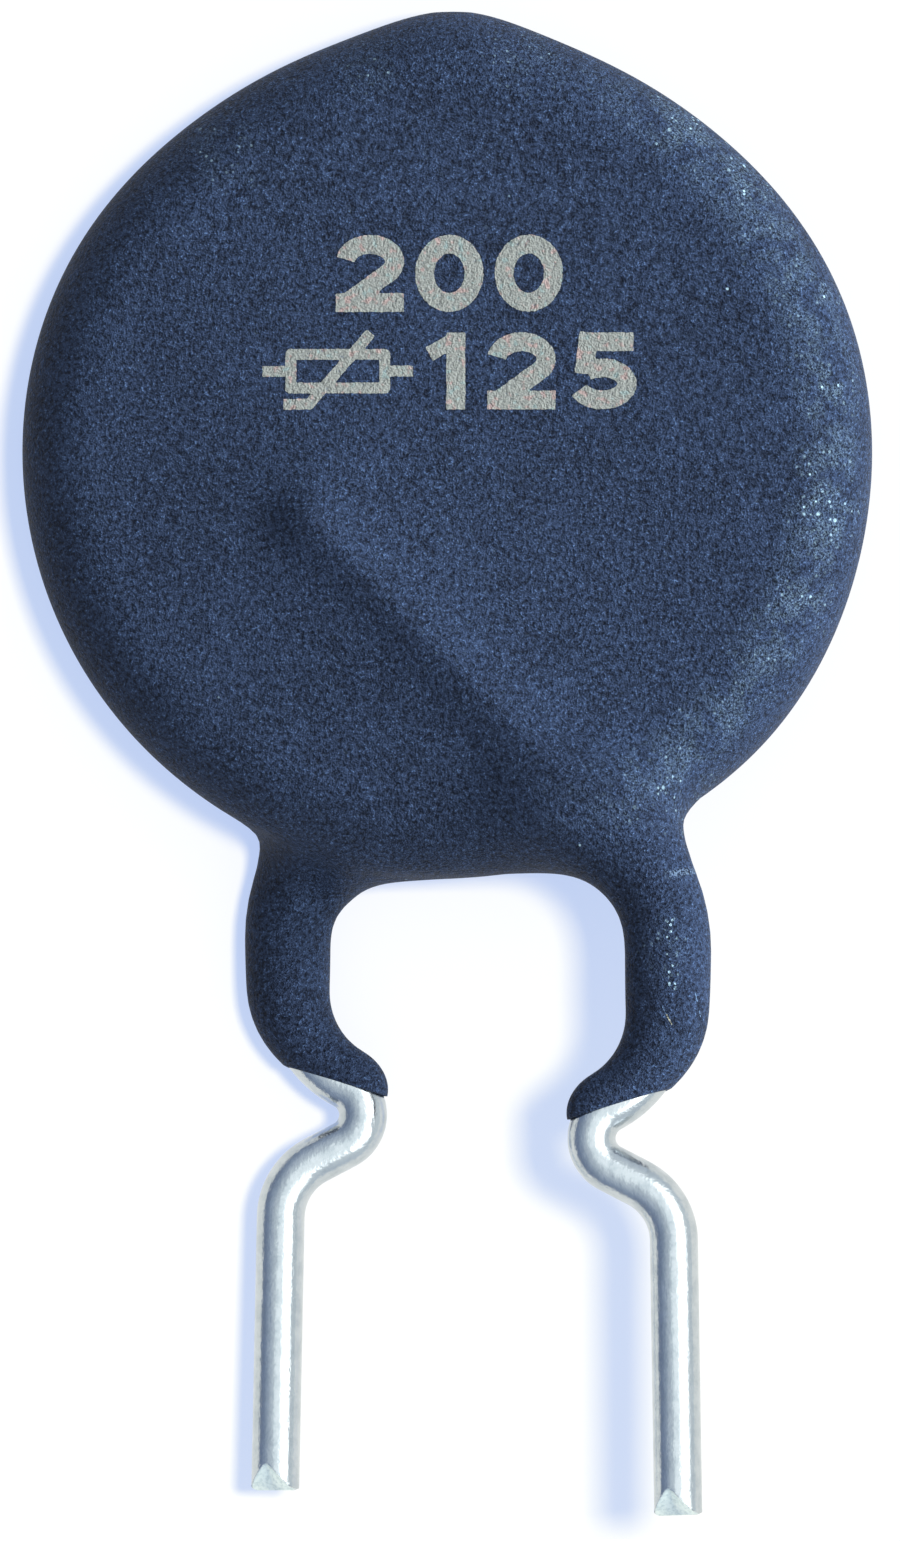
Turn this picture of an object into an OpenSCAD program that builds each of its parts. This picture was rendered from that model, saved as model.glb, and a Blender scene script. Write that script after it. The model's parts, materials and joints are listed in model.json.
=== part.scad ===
// Disc inrush current limiter: a sintered thermistor disc with a fired electrode on each face, a formed
// tinned wire soldered to each electrode, and one dipped coat over disc, joints and the tops of the leads.
// Millimetres. It lies at rest on its rear face: +Z up, leads towards -Y, origin under the middle of its box.

/* [Thermistor disc] */
// Diameter of the sintered disc
disc_d = 16.4; // [15:0.1:18]
// Thickness of the sintered disc
disc_t = 2.4; // [1.8:0.1:2.9]
// Width of bare ceramic left round each electrode
electrode_margin = 0.5; // [0.3:0.1:1.2]
// Thickness of each fired electrode
electrode_t = 0.04; // [0.03:0.01:0.1]

/* [Leads] */
// Diameter of the lead wire
wire_d = 1.02; // [0.9:0.01:1.1]
// Distance between the two coated legs
leg_pitch = 8.34; // [7.4:0.02:9]
// Distance between the two pins where they leave their feet
pin_pitch = 8.58; // [7.8:0.02:9.4]
// Angle by which each pin leans outwards
pin_splay = 1; // [0:0.5:3]
// How far the middle between the legs lies to the right of the disc's centre
leg_shift = 0.67; // [0:0.01:1]
// Angle between a lead's run across the disc and its leg
run_angle = 44.5; // [38:0.5:48]
// Length of a lead's run across the disc, from its inner end to its shoulder
run_length = 10.8; // [9.8:0.1:11]
// How far the rear lead's shoulder lies below the disc's rim
shoulder_gap = 0.66; // [0.5:0.02:1]
// How much lower the front lead's shoulder sits than the rear lead's
front_drop = 0.5; // [0:0.05:0.7]
// Height of the rear lead's leg, from its shoulder down to its kink
leg_length = 5.21; // [5:0.01:6.4]
// How much longer the front lead's leg is
front_extra = 0.2; // [0:0.05:0.6]
// Inward reach of a kink from its leg
kink_in = 2.44; // [1.6:0.02:2.6]
// Height from a kink up to where its leg starts to turn in
kink_rise = 1.3; // [1.1:0.05:2.3]
// Height from a kink down to its foot
kink_fall = 1.34; // [1.2:0.02:1.6]
// Distance from a kink down to the tip of its pin
pin_reach = 8; // [5:0.1:20]
// Bend radius of the wire's centre line at the shoulder
shoulder_bend_r = 3.6; // [2.4:0.1:5]
// Bend radius where the leg turns in
leg_bend_r = 3; // [2:0.1:3.4]
// Bend radius of the kink
kink_bend_r = 0.72; // [0.7:0.02:0.9]
// Bend radius of the foot, where the pin starts
foot_bend_r = 1.4; // [1:0.1:1.6]
// Half angle of the pinched tip
pinch_angle = 41; // [30:1:55]
// Turn of the pinch about its pin, as seen from the tip
pinch_turn = 20; // [0:5:40]
// Thickness of the land that the cutter leaves at the tip
pinch_land = 0.06; // [0.04:0.01:0.2]

/* [Solder] */
// Thickness of solder between wire and electrode
solder_film = 0.05; // [0.03:0.01:0.12]
// Length of a solder bead along its lead
solder_length = 8; // [5:0.1:8.5]
// Width of a solder bead on the electrode
solder_w = 2.2; // [1.8:0.1:2.6]
// Width of a solder bead at its top
solder_top_w = 1.3; // [1.2:0.05:1.6]
// Height of a solder bead
solder_h = 0.62; // [0.4:0.02:0.8]

/* [Coat] */
// Thickness of the coat on the disc's faces
coat_face = 0.6; // [0.3:0.01:0.7]
// Thickness of the coat round the disc's rim
coat_rim = 0.84; // [0.78:0.02:1.1]
// Rounding of the coat's rim
rim_round = 1.6; // [1.2:0.05:1.65]
// Thickness of the coat round a lead
sleeve_wall = 0.41; // [0.3:0.01:0.5]
// Thickness of the coat at its end on a lead
coat_lip = 0.07; // [0.05:0.01:0.12]
// Length over which the coat thins towards its end
coat_taper = 0.7; // [0.6:0.05:1.4]
// Height of the coat's end above the kink
coat_stop = 0.7; // [0.5:0.02:1.1]
// Slope of the coat's end across a lead
coat_slope = 0.3; // [0:0.05:0.4]
// Width over which the coat flows from a lead onto the disc
coat_blend = 1.9; // [1.7:0.1:2.6]
// Width of that flow in the corners between the legs and the web
web_blend = 2.5; // [1.9:0.1:2.8]
// Thickness of the coat at the crest of the ridge that it makes over the front lead's run
ridge_wall = 0.2; // [0.1:0.01:0.3]
// Distance over which the coat falls away from that crest to the face
ridge_reach = 1.8; // [1.2:0.1:2.2]
// Height of the drip peak at the top
drip_h = 0.33; // [0:0.02:0.6]
// Half width of the drip peak, as an angle
drip_width = 11; // [7:1:16]
// Depth of the flattened shoulders beside the drip peak
flat_depth = 0.2; // [0:0.01:0.24]
// How far the coat sags below the disc's rim between the legs
web_sag = 0.07; // [0:0.01:0.15]
// How far the coat swells out at the rim above the front lead's neck
swell_h = 0.16; // [0:0.02:0.2]

/* [Hidden] */

front = 1;
rear = -1;
wire_r = wire_d / 2;
electrode_r = disc_d / 2 - electrode_margin;
electrode_top = disc_t / 2 + electrode_t;
lead_z = electrode_top + solder_film + wire_r;
coat_r = disc_d / 2 + coat_rim;
coat_h = electrode_top + coat_face;
rim_r = min(rim_round, coat_h - 0.02);
sleeve_r = wire_r + sleeve_wall;
// Where the flattened shoulders lie and how wide they are, as angles from the top
flat_at = 36;
flat_width = 24;
drip_at = 1;
sag_width = 18;
swell_at = 132;
swell_width = 24;

// Facets of the swept wire, and the largest step of a bend in degrees
wire_sides = 16;
bend_step = 9;
// Overlap of the swept wire and the true pin, and how much smaller the sweep is there
pin_overlap = 0.2;
sweep_inset = 0.004;

// Small helpers
function unit(v) = v / norm(v);
function mix(a, b, t) = a + (b - a) * t;
function clamp(t) = max(0, min(1, t));
function ease(t) = let (c = clamp(t)) c * c * (3 - 2 * c);
function heading(v) = atan2(v[1], v[0]);

// A lead's corner points, side by side with the disc's centre line. side is front, on the right, or rear.
function lead_mid(side) = leg_shift + side * leg_pitch / 2;
function shoulder_y(side) = disc_d / 2 + shoulder_gap + (side == front ? front_drop : 0);
function kink_y(side) = shoulder_y(side) + leg_length + (side == front ? front_extra : 0);
function shoulder(side) = [lead_mid(side), -shoulder_y(side)];
function run_direction(side) = [-side * sin(run_angle), cos(run_angle)];
function pin_direction(side) = [side * sin(pin_splay), -cos(pin_splay)];
function foot(side) = [leg_shift + side * pin_pitch / 2, -kink_y(side) - kink_fall];
function tip(side) = foot(side) + pin_direction(side) * (pin_reach - kink_fall) / cos(pin_splay);
function corners(side) = [
    shoulder(side) + run_length * run_direction(side),
    shoulder(side),
    [lead_mid(side), -kink_y(side) + kink_rise],
    [lead_mid(side) - side * kink_in, -kink_y(side)],
    foot(side),
    tip(side)];
bend_radii = [0, shoulder_bend_r, leg_bend_r, kink_bend_r, foot_bend_r, 0];

// The arc that rounds corner k: it leaves one leg of the corner and joins the next, both at a tangent
function turning(p, k) = let (t = heading(p[k + 1] - p[k]) - heading(p[k] - p[k - 1]))
    t > 180 ? t - 360 : t < -180 ? t + 360 : t;
// A bend takes at most half of each stretch that it shares with another bend
function stretch(p, k) = norm(p[k + 1] - p[k]) * (k == 0 || k == len(p) - 2 ? 1 : 0.5);
function trim(p, k) = min(bend_radii[k] * tan(abs(turning(p, k)) / 2), stretch(p, k - 1), stretch(p, k));
function arc_points(p, k) =
    let (turn = turning(p, k), s = sign(turn), r = trim(p, k) / tan(abs(turn) / 2),
        h = heading(p[k] - p[k - 1]),
        start = p[k] - trim(p, k) * unit(p[k] - p[k - 1]),
        centre = start + r * s * [-sin(h), cos(h)],
        steps = ceil(abs(turn) / bend_step))
    [for (i = [0:steps]) let (a = h + turn * i / steps) centre + r * s * [sin(a), -cos(a)]];
function lead_path(side) = let (p = corners(side))
    concat([p[0]], [for (k = [1:len(p) - 2]) each arc_points(p, k)]);

front_path = lead_path(front);
rear_path = lead_path(rear);
function path_of(side) = side == front ? front_path : rear_path;
function pin_start(side) = let (p = path_of(side)) p[len(p) - 1];

// The centre line's X at a level, which is single valued because a lead always runs downwards
front_levels = [for (p = front_path) [p[1], p[0]]];
rear_levels = [for (p = rear_path) [p[1], p[0]]];
function lead_x(side, y) = lookup(y, side == front ? front_levels : rear_levels);

// The coat ends on each lead in a sloping plane, lower on the inner side
function end_y(side) = -kink_y(side) + coat_stop;
function end_x(side) = lead_x(side, end_y(side));
function above_end(side, x, y) = y - end_y(side) - coat_slope * side * (x - end_x(side));
function coated_path(side) = [for (p = path_of(side)) if (p[1] > end_y(side) - sleeve_r) p];
front_coated = coated_path(front);
rear_coated = coated_path(rear);

// The coat's form is a field: the distance to a round-edged disc and to a sleeve along each lead, melted
// together. It is under zero inside the coat and zero on its skin.
function melt(a, b, blend) = let (h = max(blend - abs(a - b), 0) / blend) min(a, b) - h * h * blend / 4;
function hump(a, at, width) = exp(-pow((a - at) / width, 2));
function rim_at(x, y) = let (turn = atan2(x, y) - drip_at, a = abs(turn))
    coat_r + drip_h * hump(a, 0, drip_width) - flat_depth * hump(a, flat_at, flat_width)
    + web_sag * hump(a, 180, sag_width) + swell_h * hump(turn, swell_at, swell_width);
function past_rim(x, y) = norm([x, y]) - rim_at(x, y) + rim_r;
function to_segment(q, a, b) = let (ab = b - a, t = clamp((q - a) * ab / (ab * ab)))
    norm(q - a - t * ab);
function to_lead(side, x, y) = let (p = side == front ? front_coated : rear_coated)
    min([for (i = [0:len(p) - 2]) to_segment([x, y], p[i], p[i + 1])]);
function wall_at(side, x, y) = let (fade = exp(-max(above_end(side, x, y), 0) / coat_taper))
    mix(sleeve_wall, coat_lip, fade);

// Beside a lead the blend is that of the neck on the outside and that of the web between the legs. Over the
// front face the sleeve is thin and the face itself rises to the lead in a ridge, down to the rim's rounding.
neck_blend = [2, 1.4];
neck_levels = [6.2, 7.8];
corner_sides = [1, 0.65];
ridge_sleeve = 0.05;
ridge_blend = 0.5;
ridge_soft = 0.15;
ridge_past = [0.6, 2.2];
sleeve_past = [-1.6, 1.2];
ridge_h = lead_z + wire_r + ridge_wall - coat_h;
function within(past, ends) = 1 - ease((past - ends[0]) / (ends[1] - ends[0]));
function blend_at(side, x, y, off) =
    let (across = abs(x - leg_shift) / (leg_pitch / 2),
        corner = ease((corner_sides[0] - across) / (corner_sides[0] - corner_sides[1])),
        low = ease((-y - neck_levels[0]) / (neck_levels[1] - neck_levels[0])))
    mix(coat_blend, mix(neck_blend[side == front ? 0 : 1], web_blend, corner), low * ease(off / sleeve_r));
// What the field needs to know of a point seen from above: how far past the rim's start it is, the front
// face's height, and for each lead the distance off it, the sleeve's radius and the blend
function plan(x, y) =
    let (past = past_rim(x, y), flat = within(past, sleeve_past),
        off = to_lead(front, x, y), off_rear = to_lead(rear, x, y),
        ridge = exp((ridge_soft - norm([off, ridge_soft])) / ridge_reach) * within(past, ridge_past))
    [past, coat_h + ridge_h * ridge,
        off, wire_r + mix(wall_at(front, x, y), ridge_sleeve, flat),
        mix(blend_at(front, x, y, off), ridge_blend, flat),
        off_rear, wire_r + wall_at(rear, x, y), blend_at(rear, x, y, off_rear)];
function disc_gap(past, q) = norm([max(past, 0), max(q, 0)]) + min(max(past, q), 0) - rim_r;
function gap_in(p, z) =
    let (q = (z > 0 ? z - p[1] : -z - coat_h) + rim_r,
        with_front = melt(disc_gap(p[0], q), norm([p[2], z - lead_z]) - p[3], p[4]))
    melt(with_front, norm([p[5], z + lead_z]) - p[6], p[7]);

// The parting surface is where the skin's front and rear halves meet. It is the disc's middle plane, and
// past the disc's lower rim it rises to the front lead and falls to the rear one. It does so between two
// levels above the coat's lowest point, over a stretch across the rim, and outwards from the web's middle.
parting_levels = [2.1, 1.2];
parting_past = [-0.05, 0.5];
parting_hold = [0.3, 0.05];
parting_span = 0.4;
parting_fall = 1.2;
function parting(x, y) =
    let (off = (x - leg_shift) / (leg_pitch / 2), over = y + coat_r,
        low = ease((parting_levels[0] - over) / (parting_levels[0] - parting_levels[1])),
        past = ease((norm([x, y]) - coat_r - parting_past[0]) / (parting_past[1] - parting_past[0])),
        hold = mix(parting_hold[0], parting_hold[1], ease(-over / parting_fall)))
    lead_z * sign(off) * low * past * ease((abs(off) - hold) / parting_span);

// Bisection from a point in the coat to its skin, along Z from the parting surface, or along a sloping row
search_steps = 17;
reach = 4;
function climb(p, z, up, lo, hi, n) = n == 0 ? lo :
    let (m = (lo + hi) / 2)
    gap_in(p, z + up * m) < 0 ? climb(p, z, up, m, hi, n - 1) : climb(p, z, up, lo, m, n - 1);
function skin(x, y, up) = let (z = parting(x, y))
    [x, y, z + up * climb(plan(x, y), z, up, 0, reach, search_steps)];
function gap_on_parting(q) = gap_in(plan(q[0], q[1]), parting(q[0], q[1]));
function walk(from, step, lo, hi, n) = n == 0 ? lo :
    let (m = (lo + hi) / 2)
    gap_on_parting(from + m * step) < 0 ? walk(from, step, m, hi, n - 1) : walk(from, step, lo, m, n - 1);
function edge(from, step, far) = from + step * walk(from, step, 0, far, search_steps);
function on_parting(q) = [q[0], q[1], parting(q[0], q[1])];

// Grid of the skin. Columns fall in four zones: the far leg, the web, the ridge and the ridge's outer side.
zone_steps = [8, 9, 10, 7];
columns = zone_steps[0] + zone_steps[1] + zone_steps[2] + zone_steps[3];
leg_columns = zone_steps[0];
web_columns = zone_steps[1];
web_end = leg_columns + web_columns;
top_rows = 7;
face_rows = 34;
web_rows = 8;
rows = top_rows + face_rows + web_rows;
leg_rows = 12;
ridge_half = 1.7;
waist_y = -coat_r + 2.5;
far_share = 0.42;
outer_share = 0.35;

// The web's lower edge between the legs, found by walking down from the waist. It ends where the coat
// starts to flow onto the leads.
web_fillet = 0.25 * coat_blend;
function web_x(side) = lead_x(side, -coat_r) - side * (sleeve_r / cos(run_angle) + web_fillet);
web_edge = [for (i = [0:web_columns]) let (x = mix(web_x(rear), web_x(front), i / web_columns))
    edge([x, waist_y], [0, -1], reach)];
function web_y(x) = lookup(x, web_edge);

top_x = coat_r * sin(drip_at);
top = edge([top_x, 0], [0, 1], 2 * coat_r);

// Row i at X: level rows down to the waist, then rows that bend towards the web's edge
function web_share(i) = sin(90 * clamp((i - top_rows - face_rows) / web_rows));
function row_y(i, x) =
    i <= top_rows ? mix(top[1], top[1] - rim_r, 1 - cos(90 * i / top_rows)) :
    i <= top_rows + face_rows ? mix(top[1] - rim_r, waist_y, (i - top_rows) / face_rows) :
    mix(waist_y, web_y(x), web_share(i));

// Where row i meets the rim on one side. Low rows start from the lead, which is always inside the coat.
function rim_point(i, side) =
    let (y = row_y(i, web_x(side)), from = y < waist_y ? lead_x(side, y) : top_x)
    edge([from, y], [side, 0], coat_r + reach);
rims = [for (side = [rear, front]) [for (i = [0:rows]) i == 0 ? top : rim_point(i, side)]];
function rim(i, side) = rims[side == front ? 1 : 0][i];

// The five X stations of row i on the face that carries the lead of this side, from the far rim to its own
run_end_y = corners(front)[0][1];
function ridge_share(i, side) =
    let (y = min(row_y(i, web_x(side)), run_end_y), level = max(i, run_end_row),
        a = rim(level, -side)[0], b = rim(level, side)[0])
    [(lead_x(side, y) - a) / (b - a), ridge_half / abs(b - a)];
run_end_row = min([for (i = [1:rows]) if (row_y(i, 0) <= run_end_y) i]);
function stations(i, side) =
    let (a = rim(i, -side)[0], b = rim(i, side)[0], share = ridge_share(i, side), g = web_share(i),
        crest = mix(a, b, share[0]), half = share[1] * abs(b - a),
        near = crest - side * mix(half, abs(crest - web_x(side)), g),
        out = crest + side * mix(half, outer_share * sleeve_r, g),
        far = mix(mix(a, near, far_share), web_x(-side), g))
    [a, far, near, out, b];

// Spacing within a zone: close at a rim, where the skin turns over, and even elsewhere
function bunch(zone, t, g) =
    zone == 0 ? mix(1 - cos(90 * t), (1 - cos(180 * t)) / 2, g) :
    zone == 2 ? mix(t, 1 - cos(90 * t), g) :
    zone == 3 ? sin(90 * t) : t;
function zone_of(j, k = 0, first = 0) =
    k == 3 || j < first + zone_steps[k] ? [k, (j - first) / zone_steps[k]] :
    zone_of(j, k + 1, first + zone_steps[k]);
function column_x(i, side, j) =
    let (z = zone_of(j), s = stations(i, side))
    mix(s[z[0]], s[z[0] + 1], bunch(z[0], z[1], web_share(i)));
function face_row(i, side) = [for (j = [0:columns - 1])
    j == 0 ? on_parting(rim(i, -side)) :
    i == rows && j >= leg_columns && j <= web_end ?
        on_parting(web_edge[side == front ? j - leg_columns : web_end - j]) :
    let (x = column_x(i, side, j)) skin(x, row_y(i, x), side)];
function body_ring(i) = concat(face_row(i, front), face_row(i, rear));

// Rings down a coated leg. Ring k lies in a plane that tilts from level to the slope of the coat's end.
function leg_ring(k, side) =
    let (g = k / leg_rows, y = mix(web_y(web_x(side)), end_y(side), g), x = lead_x(side, y),
        slope = coat_slope * g,
        inner = edge([x, y], [-side, -slope], reach), outer = edge([x, y], [side, slope], reach),
        wide = columns - web_end)
    concat(
        [for (j = [0:wide - 1]) let (q = mix(inner, outer, (1 - cos(180 * j / wide)) / 2))
            j == 0 ? on_parting(q) : skin(q[0], q[1], side)],
        [for (j = [0:leg_columns - 1]) let (q = mix(outer, inner, (1 - cos(180 * j / leg_columns)) / 2))
            j == 0 ? on_parting(q) : skin(q[0], q[1], -side)]);

// Faces between two rings of as many points, the second further down
function band(upper, lower) = let (n = len(upper)) [for (i = [0:n - 1]) let (k = (i + 1) % n)
    each [[upper[i], upper[k], lower[k]], [upper[i], lower[k], lower[i]]]];
function fan(ring, centre) = let (n = len(ring)) [for (i = [0:n - 1]) [ring[i], ring[(i + 1) % n], centre]];
function indices(first, n) = [for (i = [0:n - 1]) first + i];

ring_size = 2 * columns;
leg_size = columns - web_end + leg_columns;
front_first = 1 + rows * ring_size;
rear_first = front_first + leg_rows * leg_size;
function body_indices(i) = indices(1 + (i - 1) * ring_size, ring_size);
function leg_indices(k, side) =
    k > 0 ? indices((side == front ? front_first : rear_first) + (k - 1) * leg_size, leg_size) :
    let (last = body_indices(rows), shift = side == front ? 0 : columns)
    [for (j = [0:leg_size - 1]) last[(web_end + shift + j) % ring_size]];

coat_points = concat(
    [on_parting(top)],
    [for (i = [1:rows]) each body_ring(i)],
    [for (side = [front, rear]) for (k = [1:leg_rows]) each leg_ring(k, side)],
    [for (side = [front, rear]) [end_x(side), end_y(side), side * lead_z]]);

module coat_skin() {
    end_first = len(coat_points) - 2;
    polyhedron(
        points = coat_points,
        faces = concat(
            [for (f = fan(body_indices(1), 0)) [f[2], f[1], f[0]]],
            [for (i = [1:rows - 1]) each band(body_indices(i), body_indices(i + 1))],
            [for (side = [front, rear]) for (k = [0:leg_rows - 1])
                each band(leg_indices(k, side), leg_indices(k + 1, side))],
            fan(leg_indices(leg_rows, front), end_first),
            fan(leg_indices(leg_rows, rear), end_first + 1)),
        convexity = 8);
}

// At rest it lies on the coated run of the rear lead and on the rim beyond it, turned about that run. The
// swell is how far the melted coat stands out over a run, and the tilt is that of the line that touches
// the run's crest and the rim from below.
rest_axis = run_direction(rear);
rest_side = [-rest_axis[1], rest_axis[0]];
swell = let (h = max(coat_blend - lead_z - sleeve_r + coat_h, 0) / coat_blend) h * h * coat_blend / 4;
rim_reach = max([for (a = [0:2:90]) let (d = [-sin(a), cos(a)]) rim_at(d[0], d[1]) * (d * rest_side)]);
rest_span = [rim_reach - rim_r - shoulder(rear) * rest_side, lead_z - coat_h + rim_r];
rest_tilt = atan2(rest_span[1], rest_span[0]) - asin((rim_r - sleeve_r - swell) / norm(rest_span));
function laid(p) = let (q = [p[0], p[1]], n = q * rest_side, c = cos(rest_tilt), s = sin(rest_tilt))
    concat(q + (n * c + p[2] * s - n) * rest_side, [p[2] * c - n * s]);

tip_points = [for (side = [front, rear]) for (k = [-1, 1]) let (d = pin_direction(side))
    concat(tip(side) + k * wire_r * [-d[1], d[0]], [side * lead_z])];
laid_points = [for (p = concat(coat_points, tip_points)) laid(p)];
low = [for (k = [0:2]) min([for (p = laid_points) p[k]])];
high = [for (k = [0:2]) max([for (p = laid_points) p[k]])];

module at_rest() {
    translate([-(low[0] + high[0]) / 2, -(low[1] + high[1]) / 2, -low[2]])
        rotate(a = -rest_tilt, v = [rest_axis[0], rest_axis[1], 0])
            children();
}

// A round wire swept along a plane path, one ring of points across each point of the path
module swept_wire(path, r) {
    n = wire_sides;
    last = len(path) - 1;
    rings = [for (i = [0:last])
        let (along = unit(path[min(i + 1, last)] - path[max(i - 1, 0)]), across = [-along[1], along[0]])
        each [for (k = [0:n - 1]) let (a = 360 * k / n)
            [path[i][0] + r * cos(a) * across[0], path[i][1] + r * cos(a) * across[1], r * sin(a)]]];
    polyhedron(
        points = rings,
        faces = concat(
            [indices(0, n)],
            [for (i = [0:last - 1]) for (f = band(indices(i * n, n), indices((i + 1) * n, n)))
                [f[2], f[1], f[0]]],
            [[for (k = [n - 1:-1:0]) last * n + k]]),
        convexity = 6);
}

// The pin is a true cylinder from the end of the foot's bend to the tip, where a cutter has pinched it
module pin(side) {
    start = pin_start(side);
    length = norm(tip(side) - start);
    slant = (wire_r - pinch_land / 2) / tan(pinch_angle);
    translate([start[0], start[1], 0])
        rotate([0, 0, heading(pin_direction(side))])
            intersection() {
                rotate([0, 90, 0]) cylinder(h = length, r = wire_r, $fn = 48);
                rotate([90 + pinch_turn, 0, 0]) linear_extrude(height = 2 * wire_d, center = true)
                    polygon([[-wire_d, -wire_d], [length - slant - wire_r / tan(pinch_angle), -wire_d],
                        [length, -pinch_land / 2], [length, pinch_land / 2],
                        [length - slant - wire_r / tan(pinch_angle), wire_d], [-wire_d, wire_d]]);
            }
}

// The stretch of a lead that lies inside the coat, and a little more
module coated_lead(side) {
    translate([0, 0, side * lead_z])
        swept_wire(coated_path(side), wire_r - sweep_inset);
}

module lead(side) {
    path = path_of(side);
    translate([0, 0, side * lead_z])
        union() {
            swept_wire(concat(path, [pin_start(side) + pin_overlap * pin_direction(side)]),
                wire_r - sweep_inset);
            pin(side);
        }
}

module front_lead() {
    color("silver") at_rest() lead(front);
}

module rear_lead() {
    color("silver") at_rest() lead(rear);
}

module disc() {
    translate([0, 0, -disc_t / 2]) cylinder(h = disc_t, d = disc_d, $fn = 96);
}

module thermistor_disc() {
    color("dimgray") at_rest() disc();
}

module electrode(side) {
    translate([0, 0, side * (disc_t + electrode_t) / 2])
        cylinder(h = electrode_t, r = electrode_r, center = true, $fn = 96);
}

module front_electrode() {
    color("gainsboro") at_rest() electrode(front);
}

module rear_electrode() {
    color("gainsboro") at_rest() electrode(rear);
}

// A bead of solder along the lead's inner end, flat on its electrode and holding the wire
module bead(side) {
    inner = corners(side)[0];
    away = -run_direction(side);
    hull() for (along = [0, solder_length - solder_w / 2])
        translate([inner[0] + along * away[0], inner[1] + along * away[1], side * electrode_top])
            mirror([0, 0, side == front ? 0 : 1])
                cylinder(h = solder_h, d1 = solder_w, d2 = solder_top_w, $fn = 32);
}

module solder(side) {
    difference() {
        bead(side);
        coated_lead(side);
    }
}

module front_solder() {
    color("lightgray") at_rest() solder(front);
}

module rear_solder() {
    color("lightgray") at_rest() solder(rear);
}

module coating() {
    color([0.21, 0.27, 0.37]) at_rest() difference() {
        coat_skin();
        disc();
        for (side = [front, rear]) {
            electrode(side);
            bead(side);
            coated_lead(side);
        }
    }
}

thermistor_disc();
front_electrode();
rear_electrode();
front_solder();
rear_solder();
front_lead();
rear_lead();
coating();
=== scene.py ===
# Inrush current limiter: its dipped coat, worn print and two tinned leads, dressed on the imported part
import json
import math
import bpy
import numpy as np
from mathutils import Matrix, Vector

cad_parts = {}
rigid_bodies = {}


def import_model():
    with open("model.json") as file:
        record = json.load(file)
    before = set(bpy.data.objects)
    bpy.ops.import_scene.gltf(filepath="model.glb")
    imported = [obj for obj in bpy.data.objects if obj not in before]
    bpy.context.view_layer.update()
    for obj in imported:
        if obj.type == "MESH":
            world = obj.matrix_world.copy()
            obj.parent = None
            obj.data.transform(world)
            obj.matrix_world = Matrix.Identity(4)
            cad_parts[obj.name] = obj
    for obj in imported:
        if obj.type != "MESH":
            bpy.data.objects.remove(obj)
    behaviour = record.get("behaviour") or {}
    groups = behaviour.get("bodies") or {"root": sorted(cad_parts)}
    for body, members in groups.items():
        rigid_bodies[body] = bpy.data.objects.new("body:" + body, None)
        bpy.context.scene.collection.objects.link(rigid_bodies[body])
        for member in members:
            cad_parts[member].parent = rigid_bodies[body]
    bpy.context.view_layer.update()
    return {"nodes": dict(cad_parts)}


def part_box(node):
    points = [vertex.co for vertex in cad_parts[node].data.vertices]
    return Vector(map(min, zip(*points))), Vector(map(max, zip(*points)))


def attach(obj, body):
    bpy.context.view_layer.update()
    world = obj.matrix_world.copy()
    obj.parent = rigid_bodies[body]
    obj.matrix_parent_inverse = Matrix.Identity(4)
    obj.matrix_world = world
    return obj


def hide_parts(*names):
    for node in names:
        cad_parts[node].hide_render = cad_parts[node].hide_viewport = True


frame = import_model()
print("stage: frame loaded with", len(frame["nodes"]), "nodes")

# Sizes in millimetres in the level pose, disc's centre at the origin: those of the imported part
part = {
    "discD": 16.4, "discT": 2.4, "electrodeT": 0.04, "solderFilm": 0.05,
    "wireD": 1.02, "legPitch": 8.34, "pinPitch": 8.58, "pinSplay": 1.0, "legShift": 0.67,
    "runAngle": 44.5, "runLength": 10.8, "shoulderGap": 0.66, "frontDrop": 0.5,
    "legLength": 5.21, "frontExtra": 0.2, "kinkIn": 2.44, "kinkRise": 1.3, "kinkFall": 1.34,
    "pinReach": 8.0, "bends": (0.0, 3.6, 3.0, 0.72, 1.4, 0.0),
}
front, rear = 1, -1
wireR = part["wireD"] / 2
electrodeTop = part["discT"] / 2 + part["electrodeT"]
leadZ = electrodeTop + part["solderFilm"] + wireR


# From a to b by the share t
def mix(a, b, t):
    return a + (b - a) * t


# Soft step from 0 to 1: three t squared less two t cubed, t kept between 0 and 1
def eased(t):
    c = np.clip(t, 0, 1)
    return c * c * (3 - 2 * c)


# Bell one high round a place: e to the minus square of the distance over the width
def hump(a, at, width):
    return np.exp(-((a - at) / width) ** 2)


# A vector divided by its length
def unit(v):
    return v / np.linalg.norm(v)


# Corners of the formed wire: the run's end, shoulder, kink out, kink in, foot and tip
def leadCorners(side):
    mid = part["legShift"] + side * part["legPitch"] / 2
    shoulderY = -part["discD"] / 2 - part["shoulderGap"] - (part["frontDrop"] if side == front else 0)
    kinkY = shoulderY - part["legLength"] - (part["frontExtra"] if side == front else 0)
    run, splay = math.radians(part["runAngle"]), math.radians(part["pinSplay"])
    shoulder = np.array([mid, shoulderY])
    foot = np.array([part["legShift"] + side * part["pinPitch"] / 2, kinkY - part["kinkFall"]])
    pinWay = np.array([side * math.sin(splay), -math.cos(splay)])
    return np.array([
        shoulder + part["runLength"] * np.array([-side * math.sin(run), math.cos(run)]),
        shoulder,
        [mid, kinkY + part["kinkRise"]],
        [mid - side * part["kinkIn"], kinkY],
        foot,
        foot + pinWay * (part["pinReach"] - part["kinkFall"]) / math.cos(splay)])


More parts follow.
